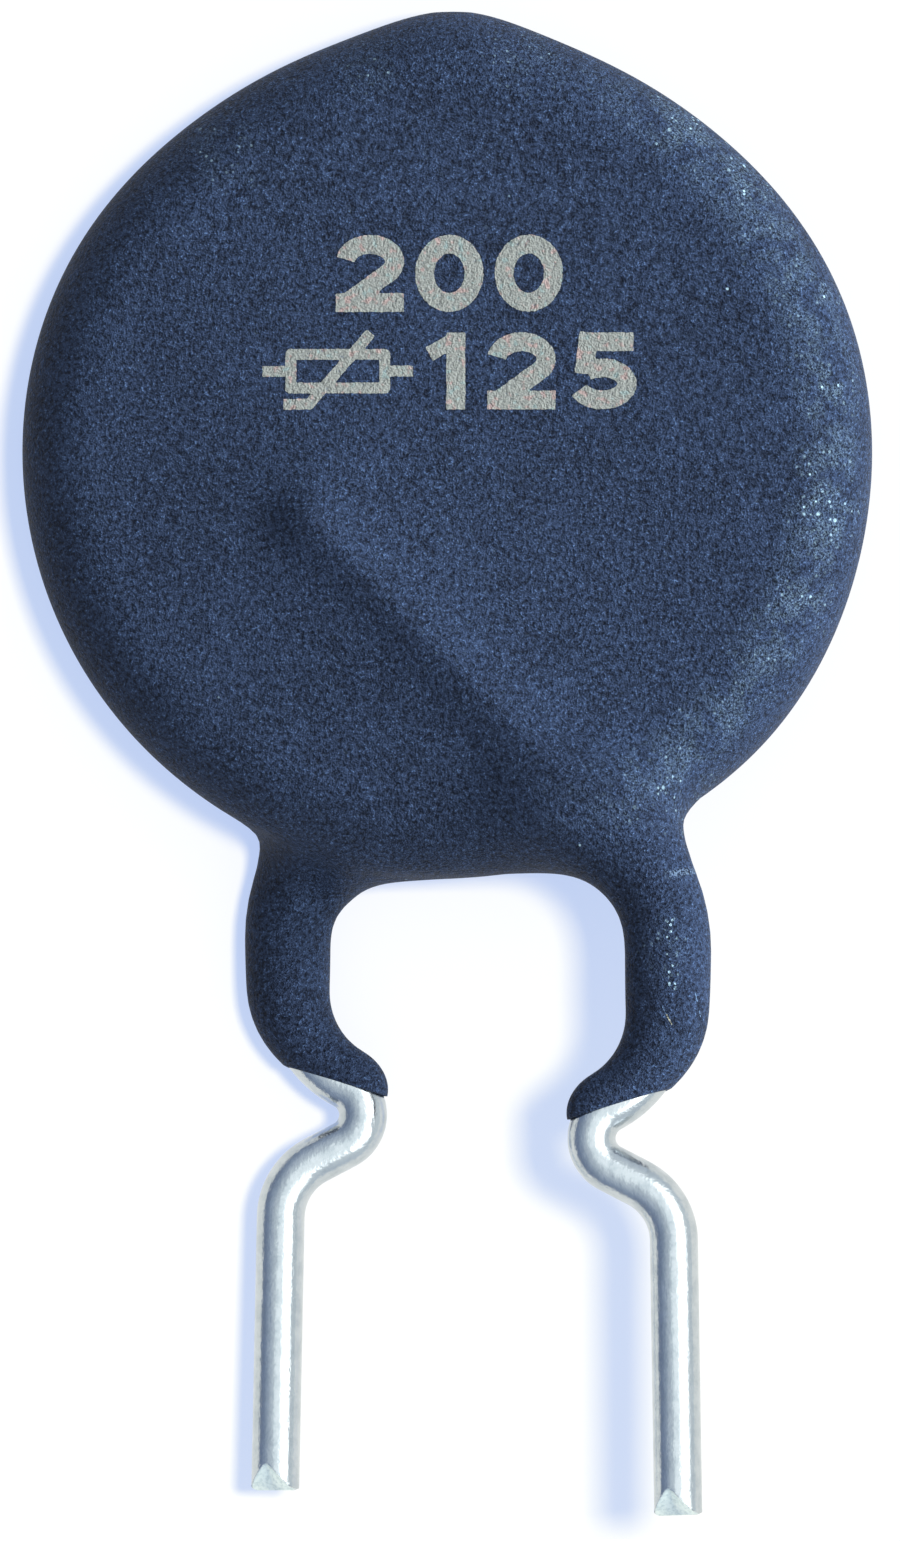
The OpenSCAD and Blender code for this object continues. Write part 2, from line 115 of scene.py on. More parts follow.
# The lead's centre line: at each corner an arc tangent to both stretches, of the bend's radius, or less where
# a stretch is too short for it, with a point every few degrees
def leadPath(side, step=3.0, gap=0.35):
    p = leadCorners(side)
    points = [p[0]]
    for k in range(1, len(p) - 1):
        before, after = p[k] - p[k - 1], p[k + 1] - p[k]
        h = math.atan2(before[1], before[0])
        turn = math.atan2(after[1], after[0]) - h
        turn = (turn + math.pi) % (2 * math.pi) - math.pi
        room = [np.linalg.norm(before) * (1 if k == 1 else 0.5),
                np.linalg.norm(after) * (1 if k == len(p) - 2 else 0.5)]
        trim = min(part["bends"][k] * math.tan(abs(turn) / 2), *room)
        r, s = trim / math.tan(abs(turn) / 2), math.copysign(1, turn)
        centre = p[k] - trim * unit(before) + r * s * np.array([-math.sin(h), math.cos(h)])
        angles = h + turn * np.linspace(0, 1, math.ceil(math.degrees(abs(turn)) / step) + 1)
        points.extend(centre + r * s * np.stack([np.sin(angles), -np.cos(angles)], 1))
    points.append(p[-1])
    points = np.array(points)
    # Straight stretches get points of their own, gap apart
    length = np.linalg.norm(np.diff(points, axis=0), axis=1)
    pieces = [np.linspace(points[i], points[i + 1], max(1, round(length[i] / gap)), endpoint=False)
              for i in range(len(points) - 1)]
    return np.concatenate(pieces + [points[-1:]])


paths = {side: leadPath(side) for side in (front, rear)}


# Where a lead's centre line passes the height y
def leadX(side, y):
    p = paths[side][::-1]
    return np.interp(y, p[:, 1], p[:, 0])


# The dipped coat
coat = {
    "face": 0.6, "rim": 0.84, "rimRound": 1.6, "sleeve": 0.41, "lip": 0.07, "taper": 0.7,
    "stop": 0.7, "slope": 0.3, "blend": 1.9, "dripH": 0.33, "dripWidth": 11.0, "dripAt": 1.0,
    "flatDepth": 0.2, "flatAt": 36.0, "flatWidth": 24.0, "webSag": 0.07, "sagWidth": 18.0,
    "swellH": 0.16, "swellAt": 132.0, "swellWidth": 24.0,
    # The tent over the lead's run, the swelling at its end and the hollow before that
    "tentWall": 0.2, "tentReach": 1.8, "tentSoft": 0.06, "tentBlend": 0.5, "tentSleeve": 0.05,
    "tentPast": (0.6, 2.2), "sleevePast": (-1.6, 1.2), "tentEnd": 0.12, "tentEndReach": 0.8,
    "notchAt": (-3.7, -1.9), "notchDepth": 0.08, "notchReach": 0.9,
    # How widely the legs blend into the disc: on the web's side, on the outer side, and between which levels
    "webBlend": 2.5, "neckBlend": {1: 2.0, -1: 1.4}, "neckLevels": (6.2, 7.8), "cornerSides": (1.0, 0.65),
    # The line on which the front half of the skin meets the rear half
    "partLevels": (2.1, 1.2), "partPast": (-0.05, 0.5), "partHold": (0.3, 0.05), "partSpan": 0.4,
    "partFall": 1.2,
    # The grid on the skin: columns in four zones, rows, and how wide the zones are
    "zones": (26, 34, 40, 24), "topRows": 20, "faceRows": 150, "webRows": 26, "legRows": 80,
    "ridgeHalf": 1.7, "waist": 2.5, "farShare": 0.42, "outerShare": 0.35, "fillet": 0.25,
    "lipIn": 0.5, "lipDown": 0.25, "lipInner": 0.3, "reach": 4.0, "steps": 22, "sharp": 50,
    "relaxRounds": 24, "relaxMoves": 2, "relaxStep": 0.001, "leastSlope": 0.05, "mostMove": 0.2,
}
coatR = part["discD"] / 2 + coat["rim"]
coatH = electrodeTop + coat["face"]
rimR = min(coat["rimRound"], coatH - 0.02)
sleeveR = wireR + coat["sleeve"]
endY = {side: leadCorners(side)[3][1] + coat["stop"] for side in (front, rear)}
endX = {side: float(leadX(side, endY[side])) for side in (front, rear)}
coarse = {side: leadPath(side, 6.0, 20.0) for side in (front, rear)}
coated = {side: coarse[side][coarse[side][:, 1] > endY[side] - sleeveR] for side in (front, rear)}


# Two distances melted together: the lesser one, less a parabola where they differ by under the blend
def melt(a, b, blend):
    h = np.maximum(blend - np.abs(a - b), 0) / blend
    return np.minimum(a, b) - h * h * blend / 4


# Rim radius: a circle with bells added or taken off by angle, for the drip peak at the top, the flats beside
# it, the swelling on the lower right and the sag between the legs
def rimAt(x, y):
    turn = np.degrees(np.arctan2(x, y)) - coat["dripAt"]
    a = np.abs(turn)
    return (coatR + coat["swellH"] * hump(turn, coat["swellAt"], coat["swellWidth"])
            + coat["dripH"] * hump(a, 0, coat["dripWidth"])
            - coat["flatDepth"] * hump(a, coat["flatAt"], coat["flatWidth"])
            + coat["webSag"] * hump(a, 180, coat["sagWidth"]))


# Distance in plan to the coated part of a lead: the least of those to its straight stretches
def toLead(side, x, y):
    p, best = coated[side], np.full(np.shape(x), 1e9)
    for a, b in zip(p[:-1], p[1:]):
        d = b - a
        t = np.clip(((x - a[0]) * d[0] + (y - a[1]) * d[1]) / (d @ d), 0, 1)
        best = np.minimum(best, np.hypot(x - a[0] - t * d[0], y - a[1] - t * d[1]))
    return best


# How far a point lies above the slanted line on which the coat ends on a leg
def aboveEnd(side, x, y):
    return y - endY[side] - coat["slope"] * side * (x - endX[side])


# What the coat's field needs of a point seen from above: how far past the rim's start it is, the front face's
# height, and for each lead the distance off it, the sleeve's radius and the blend. The face is raised over
# the lead's run by a tent that falls off as e to the minus distance over reach, with a soft crest, and has a
# bell added for the swelling at the run's end and one taken off for the hollow before it
def plan(x, y):
    past = np.hypot(x, y) - rimAt(x, y) + rimR
    onFace, onDisc = [1 - eased((past - a) / (b - a)) for a, b in (coat["sleevePast"], coat["tentPast"])]
    side = (x - part["legShift"]) / (part["legPitch"] / 2)
    outer, inner = coat["cornerSides"]
    corner = eased((outer - np.abs(side)) / (outer - inner))
    low = eased((-y - coat["neckLevels"][0]) / (coat["neckLevels"][1] - coat["neckLevels"][0]))
    values = [past]
    for s in (front, rear):
        off = toLead(s, x, y)
        bare = np.exp(-np.maximum(aboveEnd(s, x, y), 0) / coat["taper"])
        wall = mix(coat["sleeve"], coat["lip"], bare)
        beside = low * eased(off / sleeveR)
        blend = mix(coat["blend"], mix(coat["neckBlend"][s], coat["webBlend"], corner), beside)
        if s == front:
            tent = np.exp((coat["tentSoft"] - np.hypot(off, coat["tentSoft"])) / coat["tentReach"])
            endOfRun, notch = leadCorners(front)[0], coat["notchAt"]
            knob = coat["tentEnd"] * hump(np.hypot(x - endOfRun[0], y - endOfRun[1]), 0, coat["tentEndReach"])
            hollow = coat["notchDepth"] * hump(np.hypot(x - notch[0], y - notch[1]), 0, coat["notchReach"])
            values.append(coatH + (leadZ + wireR + coat["tentWall"] - coatH) * tent * onDisc + knob - hollow)
            wall, blend = mix(wall, coat["tentSleeve"], onFace), mix(blend, coat["tentBlend"], onFace)
        values += [off, wireR + wall, blend]
    return values


# The coat's skin is where this is zero: a round-edged disc melted with a sleeve along each lead
def gapIn(p, z):
    past, face, offFront, sleeveFront, blendFront, offRear, sleeveRear, blendRear = p
    q = np.where(z > 0, z - face, -z - coatH) + rimR
    disc = np.hypot(np.maximum(past, 0), np.maximum(q, 0)) + np.minimum(np.maximum(past, q), 0) - rimR
    return melt(melt(disc, np.hypot(offFront, z - leadZ) - sleeveFront, blendFront),
                np.hypot(offRear, z + leadZ) - sleeveRear, blendRear)


# Height of the line where the front and rear halves of the skin meet
def parting(x, y):
    off, over = (x - part["legShift"]) / (part["legPitch"] / 2), y + coatR
    low = eased((coat["partLevels"][0] - over) / (coat["partLevels"][0] - coat["partLevels"][1]))
    past = eased((np.hypot(x, y) - coatR - coat["partPast"][0]) / (coat["partPast"][1] - coat["partPast"][0]))
    hold = mix(coat["partHold"][0], coat["partHold"][1], eased(-over / coat["partFall"]))
    return leadZ * np.sign(off) * low * past * eased((np.abs(off) - hold) / coat["partSpan"])


# Height of the skin over a point, found by halving from the parting line
def skinZ(x, y, up):
    p, z = plan(x, y), parting(x, y)
    lo, hi = np.zeros(np.shape(x)), np.full(np.shape(x), coat["reach"])
    for _ in range(coat["steps"]):
        m = (lo + hi) / 2
        inside = gapIn(p, z + up * m) < 0
        lo, hi = np.where(inside, m, lo), np.where(inside, hi, m)
    return z + up * lo


# How far a walk from a point inside gets along (dx, dy) before it leaves the coat, all on the parting line
def edgeXY(x, y, dx, dy, far):
    x, y, dx, dy = np.broadcast_arrays(*[np.asarray(v, float) for v in (x, y, dx, dy)])
    lo, hi = np.zeros(x.shape), np.full(x.shape, float(far))
    for _ in range(coat["steps"]):
        m = (lo + hi) / 2
        px, py = x + m * dx, y + m * dy
        inside = gapIn(plan(px, py), parting(px, py)) < 0
        lo, hi = np.where(inside, m, lo), np.where(inside, hi, m)
    return x + lo * dx, y + lo * dy


# The rest pose: turned about the rear lead's run until the rim meets the floor, then set on the floor
runTurn = math.radians(part["runAngle"])
restAxis = np.array([math.sin(runTurn), math.cos(runTurn)])
restSide = np.array([-restAxis[1], restAxis[0]])
swellShare = max(coat["blend"] - leadZ - sleeveR + coatH, 0) / coat["blend"]
swell = swellShare ** 2 * coat["blend"] / 4
around = np.radians(np.arange(0, 91, 2))
aroundX, aroundY = -np.sin(around), np.cos(around)
rimReach = float((rimAt(aroundX, aroundY) * (aroundX * restSide[0] + aroundY * restSide[1])).max())
restSpan = (rimReach - rimR - float(leadCorners(rear)[1] @ restSide), leadZ - coatH + rimR)
restTilt = math.atan2(restSpan[1], restSpan[0]) - math.asin((rimR - sleeveR - swell) / math.hypot(*restSpan))


# Points turned to the rest pose: the component across the run mixes with height
def turned(p):
    n = p[:, :2] @ restSide
    out = p.copy()
    out[:, :2] += np.outer(n * math.cos(restTilt) + p[:, 2] * math.sin(restTilt) - n, restSide)
    out[:, 2] = p[:, 2] * math.cos(restTilt) - n * math.sin(restTilt)
    return out


# Points in millimetres and faces of any size into a mesh in metres, smooth except where faces meet at a sharp
# angle, given in degrees. Points that no face uses are dropped.
def makePiece(name, points, faces, material, sharp=35):
    mesh = bpy.data.meshes.new(name)
    used, slots = np.unique(np.concatenate([np.asarray(f) for f in faces]), return_inverse=True)
    cuts = np.cumsum([len(f) for f in faces])[:-1]
    mesh.from_pydata((points[used] * 0.001).tolist(), [], [f.tolist() for f in np.split(slots, cuts)])
    mesh.shade_smooth()
    mesh.set_sharp_from_angle(angle=math.radians(sharp))
    mesh.materials.append(material)
    piece = bpy.data.objects.new(name, mesh)
    bpy.context.scene.collection.objects.link(piece)
    return piece


# Quads between rings given as rows of indices, each ring closed on itself
def ringQuads(rings):
    a, b = rings[:-1], rings[1:]
    an, bn = np.roll(a, -1, 1), np.roll(b, -1, 1)
    return np.stack([a, an, bn, b], 2).reshape(-1, 4)


# The coat's skin on a grid. Rings of columns go round the disc from the front face to the rear one: a row of
# the front face left to right, then the rear face right to left. Rows go down the disc, bend to the web's
# lower edge, and go on as smaller rings down each leg.
def coatGrid():
    zones = coat["zones"]
    columns, legColumns = sum(zones), zones[0]
    webEnd = zones[0] + zones[1]
    rows = coat["topRows"] + coat["faceRows"] + coat["webRows"]
    waistY = -coatR + coat["waist"]
    fillet = coat["fillet"] * coat["blend"]
    webX = {s: float(leadX(s, -coatR)) - s * (sleeveR / math.cos(runTurn) + fillet) for s in (front, rear)}
    webXs = mix(webX[rear], webX[front], np.linspace(0, 1, zones[1] + 1))
    webYs = edgeXY(webXs, waistY, 0, -1, coat["reach"])[1]
    topX = coatR * math.sin(math.radians(coat["dripAt"]))
    topY = float(edgeXY(topX, 0, 0, 1, 2 * coatR)[1])
    i = np.arange(rows + 1)
    share = np.sin(np.pi / 2 * np.clip((i - coat["topRows"] - coat["faceRows"]) / coat["webRows"], 0, 1))

    def rowY(x):
        upper = mix(topY, topY - rimR, 1 - np.cos(np.pi / 2 * np.minimum(i / coat["topRows"], 1)))
        level = mix(upper, waistY, np.clip((i - coat["topRows"]) / coat["faceRows"], 0, 1))
        level = level.reshape((-1,) + (1,) * (np.ndim(x) - 1)) if np.ndim(x) > 1 else level
        g = share.reshape(level.shape)
        return mix(level, np.interp(x, webXs, webYs), g)

    rims = {}
    for s in (rear, front):
        y = rowY(np.full(rows + 1, webX[s]))
        start = np.where(y < waistY, leadX(s, y), topX)
        x, y = edgeXY(start, y, s, 0, coatR + coat["reach"])
        x[0], y[0] = topX, topY
        rims[s] = np.stack([x, y], 1)

    runEndY = leadCorners(front)[0][1]
    runEndRow = int(np.argmax(rowY(np.zeros(rows + 1)) <= runEndY))

    # Columns fall in four zones: the far leg, the web, the ridge over the run, and its outer side
    def faceXY(s):
        level = np.maximum(i, runEndRow)
        a, b = rims[-s][level, 0], rims[s][level, 0]
        y = np.minimum(rowY(np.full(rows + 1, webX[s])), runEndY)
        crestShare, halfShare = (leadX(s, y) - a) / (b - a), coat["ridgeHalf"] / np.abs(b - a)
        a, b = rims[-s][:, 0], rims[s][:, 0]
        crest, half = mix(a, b, crestShare), halfShare * np.abs(b - a)
        near = crest - s * mix(half, np.abs(crest - webX[s]), share)
        out = crest + s * mix(half, coat["outerShare"] * sleeveR, share)
        far = mix(mix(a, near, coat["farShare"]), webX[-s], share)
        stations = np.stack([a, far, near, out, b], 1)
        parts = []
        g = share[:, None]
        for zone, n in enumerate(zones):
            t = np.arange(n)[None, :] / n
            t = {0: mix(1 - np.cos(np.pi / 2 * t), (1 - np.cos(np.pi * t)) / 2, g), 1: t + 0 * g,
                 2: mix(t, 1 - np.cos(np.pi / 2 * t), g), 3: np.sin(np.pi / 2 * t) + 0 * g}[zone]
            parts.append(mix(stations[:, zone:zone + 1], stations[:, zone + 1:zone + 2], t))
        x = np.concatenate(parts, 1)
        y = rowY(x)
        z = skinZ(x, y, s)
        x[:, 0], y[:, 0] = rims[-s][:, 0], rims[-s][:, 1]
        edgeX = webXs if s == front else webXs[::-1]
        edgeY = webYs if s == front else webYs[::-1]
        x[-1, legColumns:webEnd + 1], y[-1, legColumns:webEnd + 1] = edgeX, edgeY
        z[:, 0] = parting(x[:, 0], y[:, 0])
        z[-1, legColumns:webEnd + 1] = parting(edgeX, edgeY)
        return np.stack([x, y, z], 2)[1:]

    body = np.concatenate([faceXY(front), faceXY(rear)], 1)
    # The web's edge belongs to both faces, so the rear face's last row takes the front face's points there
    shared = np.arange(1 + rows * 2 * columns)
    edge = 1 + (rows - 1) * 2 * columns + np.arange(legColumns, webEnd + 1)
    shared[edge[::-1] + columns] = edge
    points = [np.array([[topX, topY, float(parting(np.array(topX), np.array(topY)))]]), body.reshape(-1, 3)]
    rings = shared[1:].reshape(rows, 2 * columns)
    faces = [ringQuads(rings)]
    triangles = [np.stack([np.zeros(2 * columns, int), np.roll(rings[0], -1), rings[0]], 1)]

    # Rings down a coated leg, tilting from level to the slope of the coat's end, then over its lip
    total = 1 + rows * 2 * columns
    wide = columns - webEnd
    held = []
    for s in (front, rear):
        g = np.arange(1, coat["legRows"] + 1) / coat["legRows"]
        y = mix(float(np.interp(webX[s], webXs, webYs)), endY[s], g)
        x, slope = leadX(s, y), coat["slope"] * g
        inner = np.stack(edgeXY(x, y, -s, -slope, coat["reach"]), 1)[:, None, :]
        outer = np.stack(edgeXY(x, y, s, slope, coat["reach"]), 1)[:, None, :]
        there = mix(inner, outer, (1 - np.cos(np.pi * np.arange(wide) / wide))[None, :, None] / 2)
        back = mix(outer, inner, (1 - np.cos(np.pi * np.arange(legColumns) / legColumns))[None, :, None] / 2)
        zThere = skinZ(there[..., 0], there[..., 1], s)
        zBack = skinZ(back[..., 0], back[..., 1], -s)
        zThere[:, 0] = parting(there[:, 0, 0], there[:, 0, 1])
        zBack[:, 0] = parting(back[:, 0, 0], back[:, 0, 1])
        leg = np.concatenate([np.dstack([there, zThere]), np.dstack([back, zBack])], 1)
        centre = np.array([endX[s], endY[s], s * leadZ])
        outerLip = mix(leg[-1], centre, coat["lipIn"] * coat["lip"] / wireR)
        lip = [outerLip - [0, coat["lipDown"] * coat["lip"], 0], mix(leg[-1], centre, coat["lipInner"])]
        size = wide + legColumns
        first = (webEnd + (0 if s == front else columns) + np.arange(size)) % (2 * columns)
        own = total + np.arange((len(leg) + 2) * size).reshape(-1, size)
        faces.append(ringQuads(np.concatenate([rings[-1][first][None], own])))
        triangles.append(np.stack([own[-1], np.roll(own[-1], -1), np.full(size, total + own.size)], 1))
        points += [leg.reshape(-1, 3), *lip, centre[None]]
        held.append(own[-3:].ravel())
        total += own.size + 1
    return np.concatenate(points), faces, triangles, np.concatenate(held)


# Evens out the grid and brings it back to the field's zero: each round moves the free points to the middle of
# their neighbours, then along the field's slope by the field's value over the slope
def relaxed(points, quads, free, rounds):
    a = np.concatenate([quads.ravel(), np.roll(quads, -1, 1).ravel()])
    b = np.concatenate([np.roll(quads, -1, 1).ravel(), quads.ravel()])
    near = np.maximum(np.bincount(a, minlength=len(points)), 1)[:, None]
    h = coat["relaxStep"]
    for _ in range(rounds):
        middle = np.stack([np.bincount(a, points[b, k], len(points)) for k in range(3)], 1) / near
        p = (points + middle)[free] / 2
        for _ in range(coat["relaxMoves"]):
            x, y, z = p.T
            base = plan(x, y)
            f = gapIn(base, z)
            ahead = (gapIn(plan(x + h, y), z), gapIn(plan(x, y + h), z), gapIn(base, z + h))
            slope = np.stack([there - f for there in ahead], 1) / h
            move = -f[:, None] * slope / np.maximum((slope ** 2).sum(1), coat["leastSlope"])[:, None]
            length = np.maximum(np.linalg.norm(move, axis=1), 1e-9)
            p = p + move * np.minimum(1, coat["mostMove"] / length)[:, None]
        points = points.copy()
        points[free] = p
    return points


coatPoints, coatQuads, coatTriangles, coatHeld = coatGrid()
coatQuads = np.concatenate(coatQuads)
coatFree = np.setdiff1d(np.unique(coatQuads), coatHeld)
coatPoints = relaxed(coatPoints, coatQuads, coatFree, coat["relaxRounds"])
print("stage: coat has", len(coatPoints), "points, tilt", round(math.degrees(restTilt), 3))

# The box of coat and lead tips in the rest pose sets where the level pose's origin goes
splay = math.radians(part["pinSplay"])
tipPoints = np.array([
    [*(leadCorners(s)[-1] + k * wireR * np.array([math.cos(splay), s * math.sin(splay)])), s * leadZ]
    for s in (front, rear) for k in (-1, 1)])
laid = turned(np.concatenate([coatPoints, tipPoints]))
low, high = laid.min(0), laid.max(0)
restShift = np.array([-(low[0] + high[0]) / 2, -(low[1] + high[1]) / 2, -low[2]])


# Points of the level pose as they lie at rest, in millimetres
def atRest(p):
    return turned(p) + restShift


coatRest, coatNode = atRest(coatPoints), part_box("coating")
print("stage: coat from", coatRest.min(0).round(3), "to", coatRest.max(0).round(3),
      "its node", [[round(v * 1000, 3) for v in corner] for corner in coatNode])


# A socket that adds, subtracts and multiplies by making Math nodes
class Value:
    def __init__(self, maker, socket):
        self.maker, self.socket = maker, socket

    def maths(self, operation, *others):
        sockets = {0: self}
        sockets.update({k + 1: other for k, other in enumerate(others)})
        return self.maker.node("ShaderNodeMath", {"operation": operation}, sockets)

    def __add__(self, other):
        return self.maths("ADD", other)

    def __sub__(self, other):
        return self.maths("SUBTRACT", other)

    def __mul__(self, other):
        return self.maths("MULTIPLY", other)

    def __rsub__(self, other):
        return self.maker.node("ShaderNodeMath", {"operation": "SUBTRACT"}, {0: other, 1: self})

    __radd__, __rmul__ = __add__, __mul__

    # Runs from 0 to 1 as the value goes from start to end, with soft ends
    def ramp(self, start, end):
        return self.maker.node("ShaderNodeMapRange", {"interpolation_type": "SMOOTHSTEP"},
                               {"Value": self, "From Min": start, "From Max": end})


# A speck's edge in shares of its radius, and the share of its range over which it fades in
speckLook = {"edge": (0.6, 1.3), "fade": 0.7}


# Makes and links the nodes of one tree; node() takes a type, its settings, and its sockets' values or links
class Maker:
    def __init__(self, tree):
        self.tree = tree
        tree.nodes.clear()

    def node(self, kind, settings=None, sockets=None, out=0):
        made = self.tree.nodes.new(kind)
        for name, value in (settings or {}).items():
            if name == "stops":
                ramp = made.color_ramp
                while len(ramp.elements) < len(value):
                    ramp.elements.new(0.5)
                for element, (place, colour) in zip(ramp.elements, value):
                    element.position, element.color = place, (*colour, 1)
            else:
                setattr(made, name, value)
        for name, value in (sockets or {}).items():
            if isinstance(value, Value):
                self.tree.links.new(value.socket, made.inputs[name])
            else:
                made.inputs[name].default_value = value
        return Value(self, made.outputs[out]) if len(made.outputs) else None

    def mixColour(self, factor, a, b):
        a, b = [colour if isinstance(colour, Value) else (*colour, 1) for colour in (a, b)]
        return self.node("ShaderNodeMix", {"data_type": "RGBA"}, {0: factor, 6: a, 7: b}, 2)

    # Noise of so many cells to the millimetre, with its detail and its roughness
    def noise(self, vector, scale, detail, rough):
        return self.node("ShaderNodeTexNoise", {}, {
            "Vector": vector, "Scale": scale, "Detail": detail, "Roughness": rough})

    def vector(self, operation, a, b=None, scale=None, out=0):
        sockets = {slot: value for slot, value in ((0, a), (1, b), (3, scale)) if value is not None}
        return self.node("ShaderNodeVectorMath", {"operation": operation}, sockets, out)

    # The three parts of a vector as values
    def parts(self, vector):
        made = self.node("ShaderNodeSeparateXYZ", {}, {0: vector})
        return [Value(self, socket) for socket in made.socket.node.outputs]

    # Object coordinates in millimetres, turned back to the level pose with the disc's centre at the origin
    def levelPoint(self):
        place = self.node("ShaderNodeTexCoord", {}, {}, 3)
        moved = self.vector("SUBTRACT", self.vector("SCALE", place, scale=1000.0), tuple(restShift))
        return self.node("ShaderNodeVectorRotate", {"rotation_type": "AXIS_ANGLE"},
                         {"Vector": moved, "Axis": (*restAxis, 0), "Angle": restTilt})

    # Distance from a flat point to a place, and to the straight stretch between two places
    def reachTo(self, point, place):
        return self.vector("DISTANCE", point, (*place, 0), out=1)

    def reachToLine(self, point, start, end):
        start, end = np.array((*start, 0), float), np.array((*end, 0), float)
        way = end - start
        off = self.vector("SUBTRACT", point, tuple(start))
        along = self.vector("DOT_PRODUCT", off, tuple(way / (way @ way)), out=1)
        along = along.maths("MAXIMUM", 0.0).maths("MINIMUM", 1.0)
        foot = self.vector("SCALE", tuple(way), scale=along)
        return self.vector("LENGTH", self.vector("SUBTRACT", off, foot), out=1)

    # Specks: of cells so many to the millimetre, a share carries a dot of the given radius with a soft edge
    def specks(self, point, perMm, radius, share):
        sockets = {"Vector": point, "Scale": perMm, "Randomness": 1.0}
        near = self.node("ShaderNodeTexVoronoi", {"feature": "F1"}, sockets)
        pick = self.parts(self.node("ShaderNodeTexVoronoi", {"feature": "F1"}, sockets, 1))
        inner, outer = [radius * perMm * edge for edge in speckLook["edge"]]
        return (1 - near.ramp(inner, outer)) * pick[0].ramp(1 - share, 1 - share * speckLook["fade"])

    # Ends a material: its shader's sockets, and a relief of so many metres for a height of 1
    def finish(self, depth, height, sockets):
        relief = self.node("ShaderNodeBump", {}, {"Strength": 1.0, "Distance": depth, "Height": height})
        shader = self.node("ShaderNodeBsdfPrincipled", {}, {**sockets, "Normal": relief})
        self.node("ShaderNodeOutputMaterial", {}, {0: shader})


def newMaterial(name):
    material = bpy.data.materials.new(name)
    material.use_nodes = True
    return material, Maker(material.node_tree)


# The coat's finish: colours, grains as cells to the millimetre with detail and roughness, spans of a grain's
# value from none to full, shares of a colour, and marks by their place in millimetres of the level pose
coatLook = {
    "dark": (0.0095, 0.0120, 0.0200), "pale": (0.0445, 0.0655, 0.1215), "fleck": (0.13, 0.21, 0.37),
    # this pale colour serves both the dust and the painted glints and painted sheen on the right rim
    "dustAndGlintColour": (0.40, 0.55, 0.62), "fuzz": (0.20, 0.27, 0.36), "scratch": (0.50, 0.46, 0.30),
    "line": (0.16, 0.24, 0.36), "roughness": 0.56, "roughSway": 0.25, "specular": 0.07,
    "grain": (10.0, 2.0, 0.65), "fine": (23.0, 1.0, 0.6), "broad": (0.7, 2.0, 0.5),
    "reliefDepth": 0.00013, "reliefShares": (0.6, 0.4),
    "toneShares": (0.55, 0.37, 0.08), "toneSpan": (0.34, 0.69),
    "fleckFine": (0.60, 0.72), "fleckGrain": (0.48, 0.62), "fleckShare": 0.55,
    "frontSpan": (-0.4, 0.6),
    # Dust and painted glints lie in clusters on the front: place, radius and strength. The strong clusters
    # along the right rim, the lit side, are painted glints as well as dust. It is patchy, and rare elsewhere.
    "clusters": [(5.2, 7.0, 1.3, 0.9), (6.5, 5.7, 0.7, 0.8), (8.0, 3.3, 0.6, 0.8), (8.25, 1.3, 0.9, 1.0),
                 (8.1, -1.2, 1.1, 0.9), (7.6, -3.4, 0.9, 0.6), (-4.6, 6.3, 1.2, 0.5), (-1.5, 8.0, 1.0, 0.5),
                 (1.8, 8.3, 1.1, 0.5), (3.9, -8.2, 0.5, 0.9), (4.8, -10.8, 0.8, 0.3), (5.1, -7.4, 1.3, 0.4),
                 (-3.4, -10.0, 0.8, 0.3)],
    "clusterCore": 0.2, "elsewhere": 0.03, "patches": (1.7, 2.0, 0.6), "patchSpan": (0.36, 0.58),
    "haze": 0.12, "hazeSpan": (0.45, 0.70),
    # and on the right rim, the lit side, there are painted glints and a painted sheen: by distance from the
    # disc's centre, and by how far to the right
    "rimStart": (7.2, 8.4), "rimEnd": (8.55, 8.95), "rimRight": (1.5, 6.5), "rimDustAndGlints": 0.25,
    "rimPaintedSheen": 0.07, "rimSheenSpan": (0.35, 0.65),
    # Specks: cells to the millimetre, radius, and the share of cells that carry one
    "specks": [(7.0, 0.030, 0.5), (3.1, 0.045, 0.35)], "strays": (1.3, 0.032, 0.16), "strayShare": 0.75,
    # Marks: start, end and width, and how much of the width is full
    # the dotted row runs along the right leg's lit crest: its pale specks are dust and painted glints
    "dotted": ((4.95, -10.25), (4.98, -11.55), 0.16), "dottedCore": 0.4, "dots": (9.0, 0.030, 0.9),
    "dotShare": 0.9, "fuzzy": ((4.90, -9.22), (5.35, -9.12), 0.12), "fuzzCore": 0.01,
    "fuzzSpan": (0.46, 0.60), "fuzzShare": 0.6,
    "scratches": [((4.86, -12.20), (4.97, -12.40), 0.013)],
    "lines": [((4.78, -12.04), (4.85, -12.18), 0.011), ((5.45, -11.68), (5.58, -12.32), 0.009)],
    "markEdge": (0.5, 1.3), "markSpan": (0.40, 0.52), "markShare": 0.8,
}


# The pebbled grain that the coat and the ink on it share: coarse, fine, and the height made of both
def pebbles(m, p):
    grain, fine = m.noise(p, *coatLook["grain"]), m.noise(p, *coatLook["fine"])
    coarseShare, fineShare = coatLook["reliefShares"]
    return grain, fine, grain * coarseShare + fine * fineShare
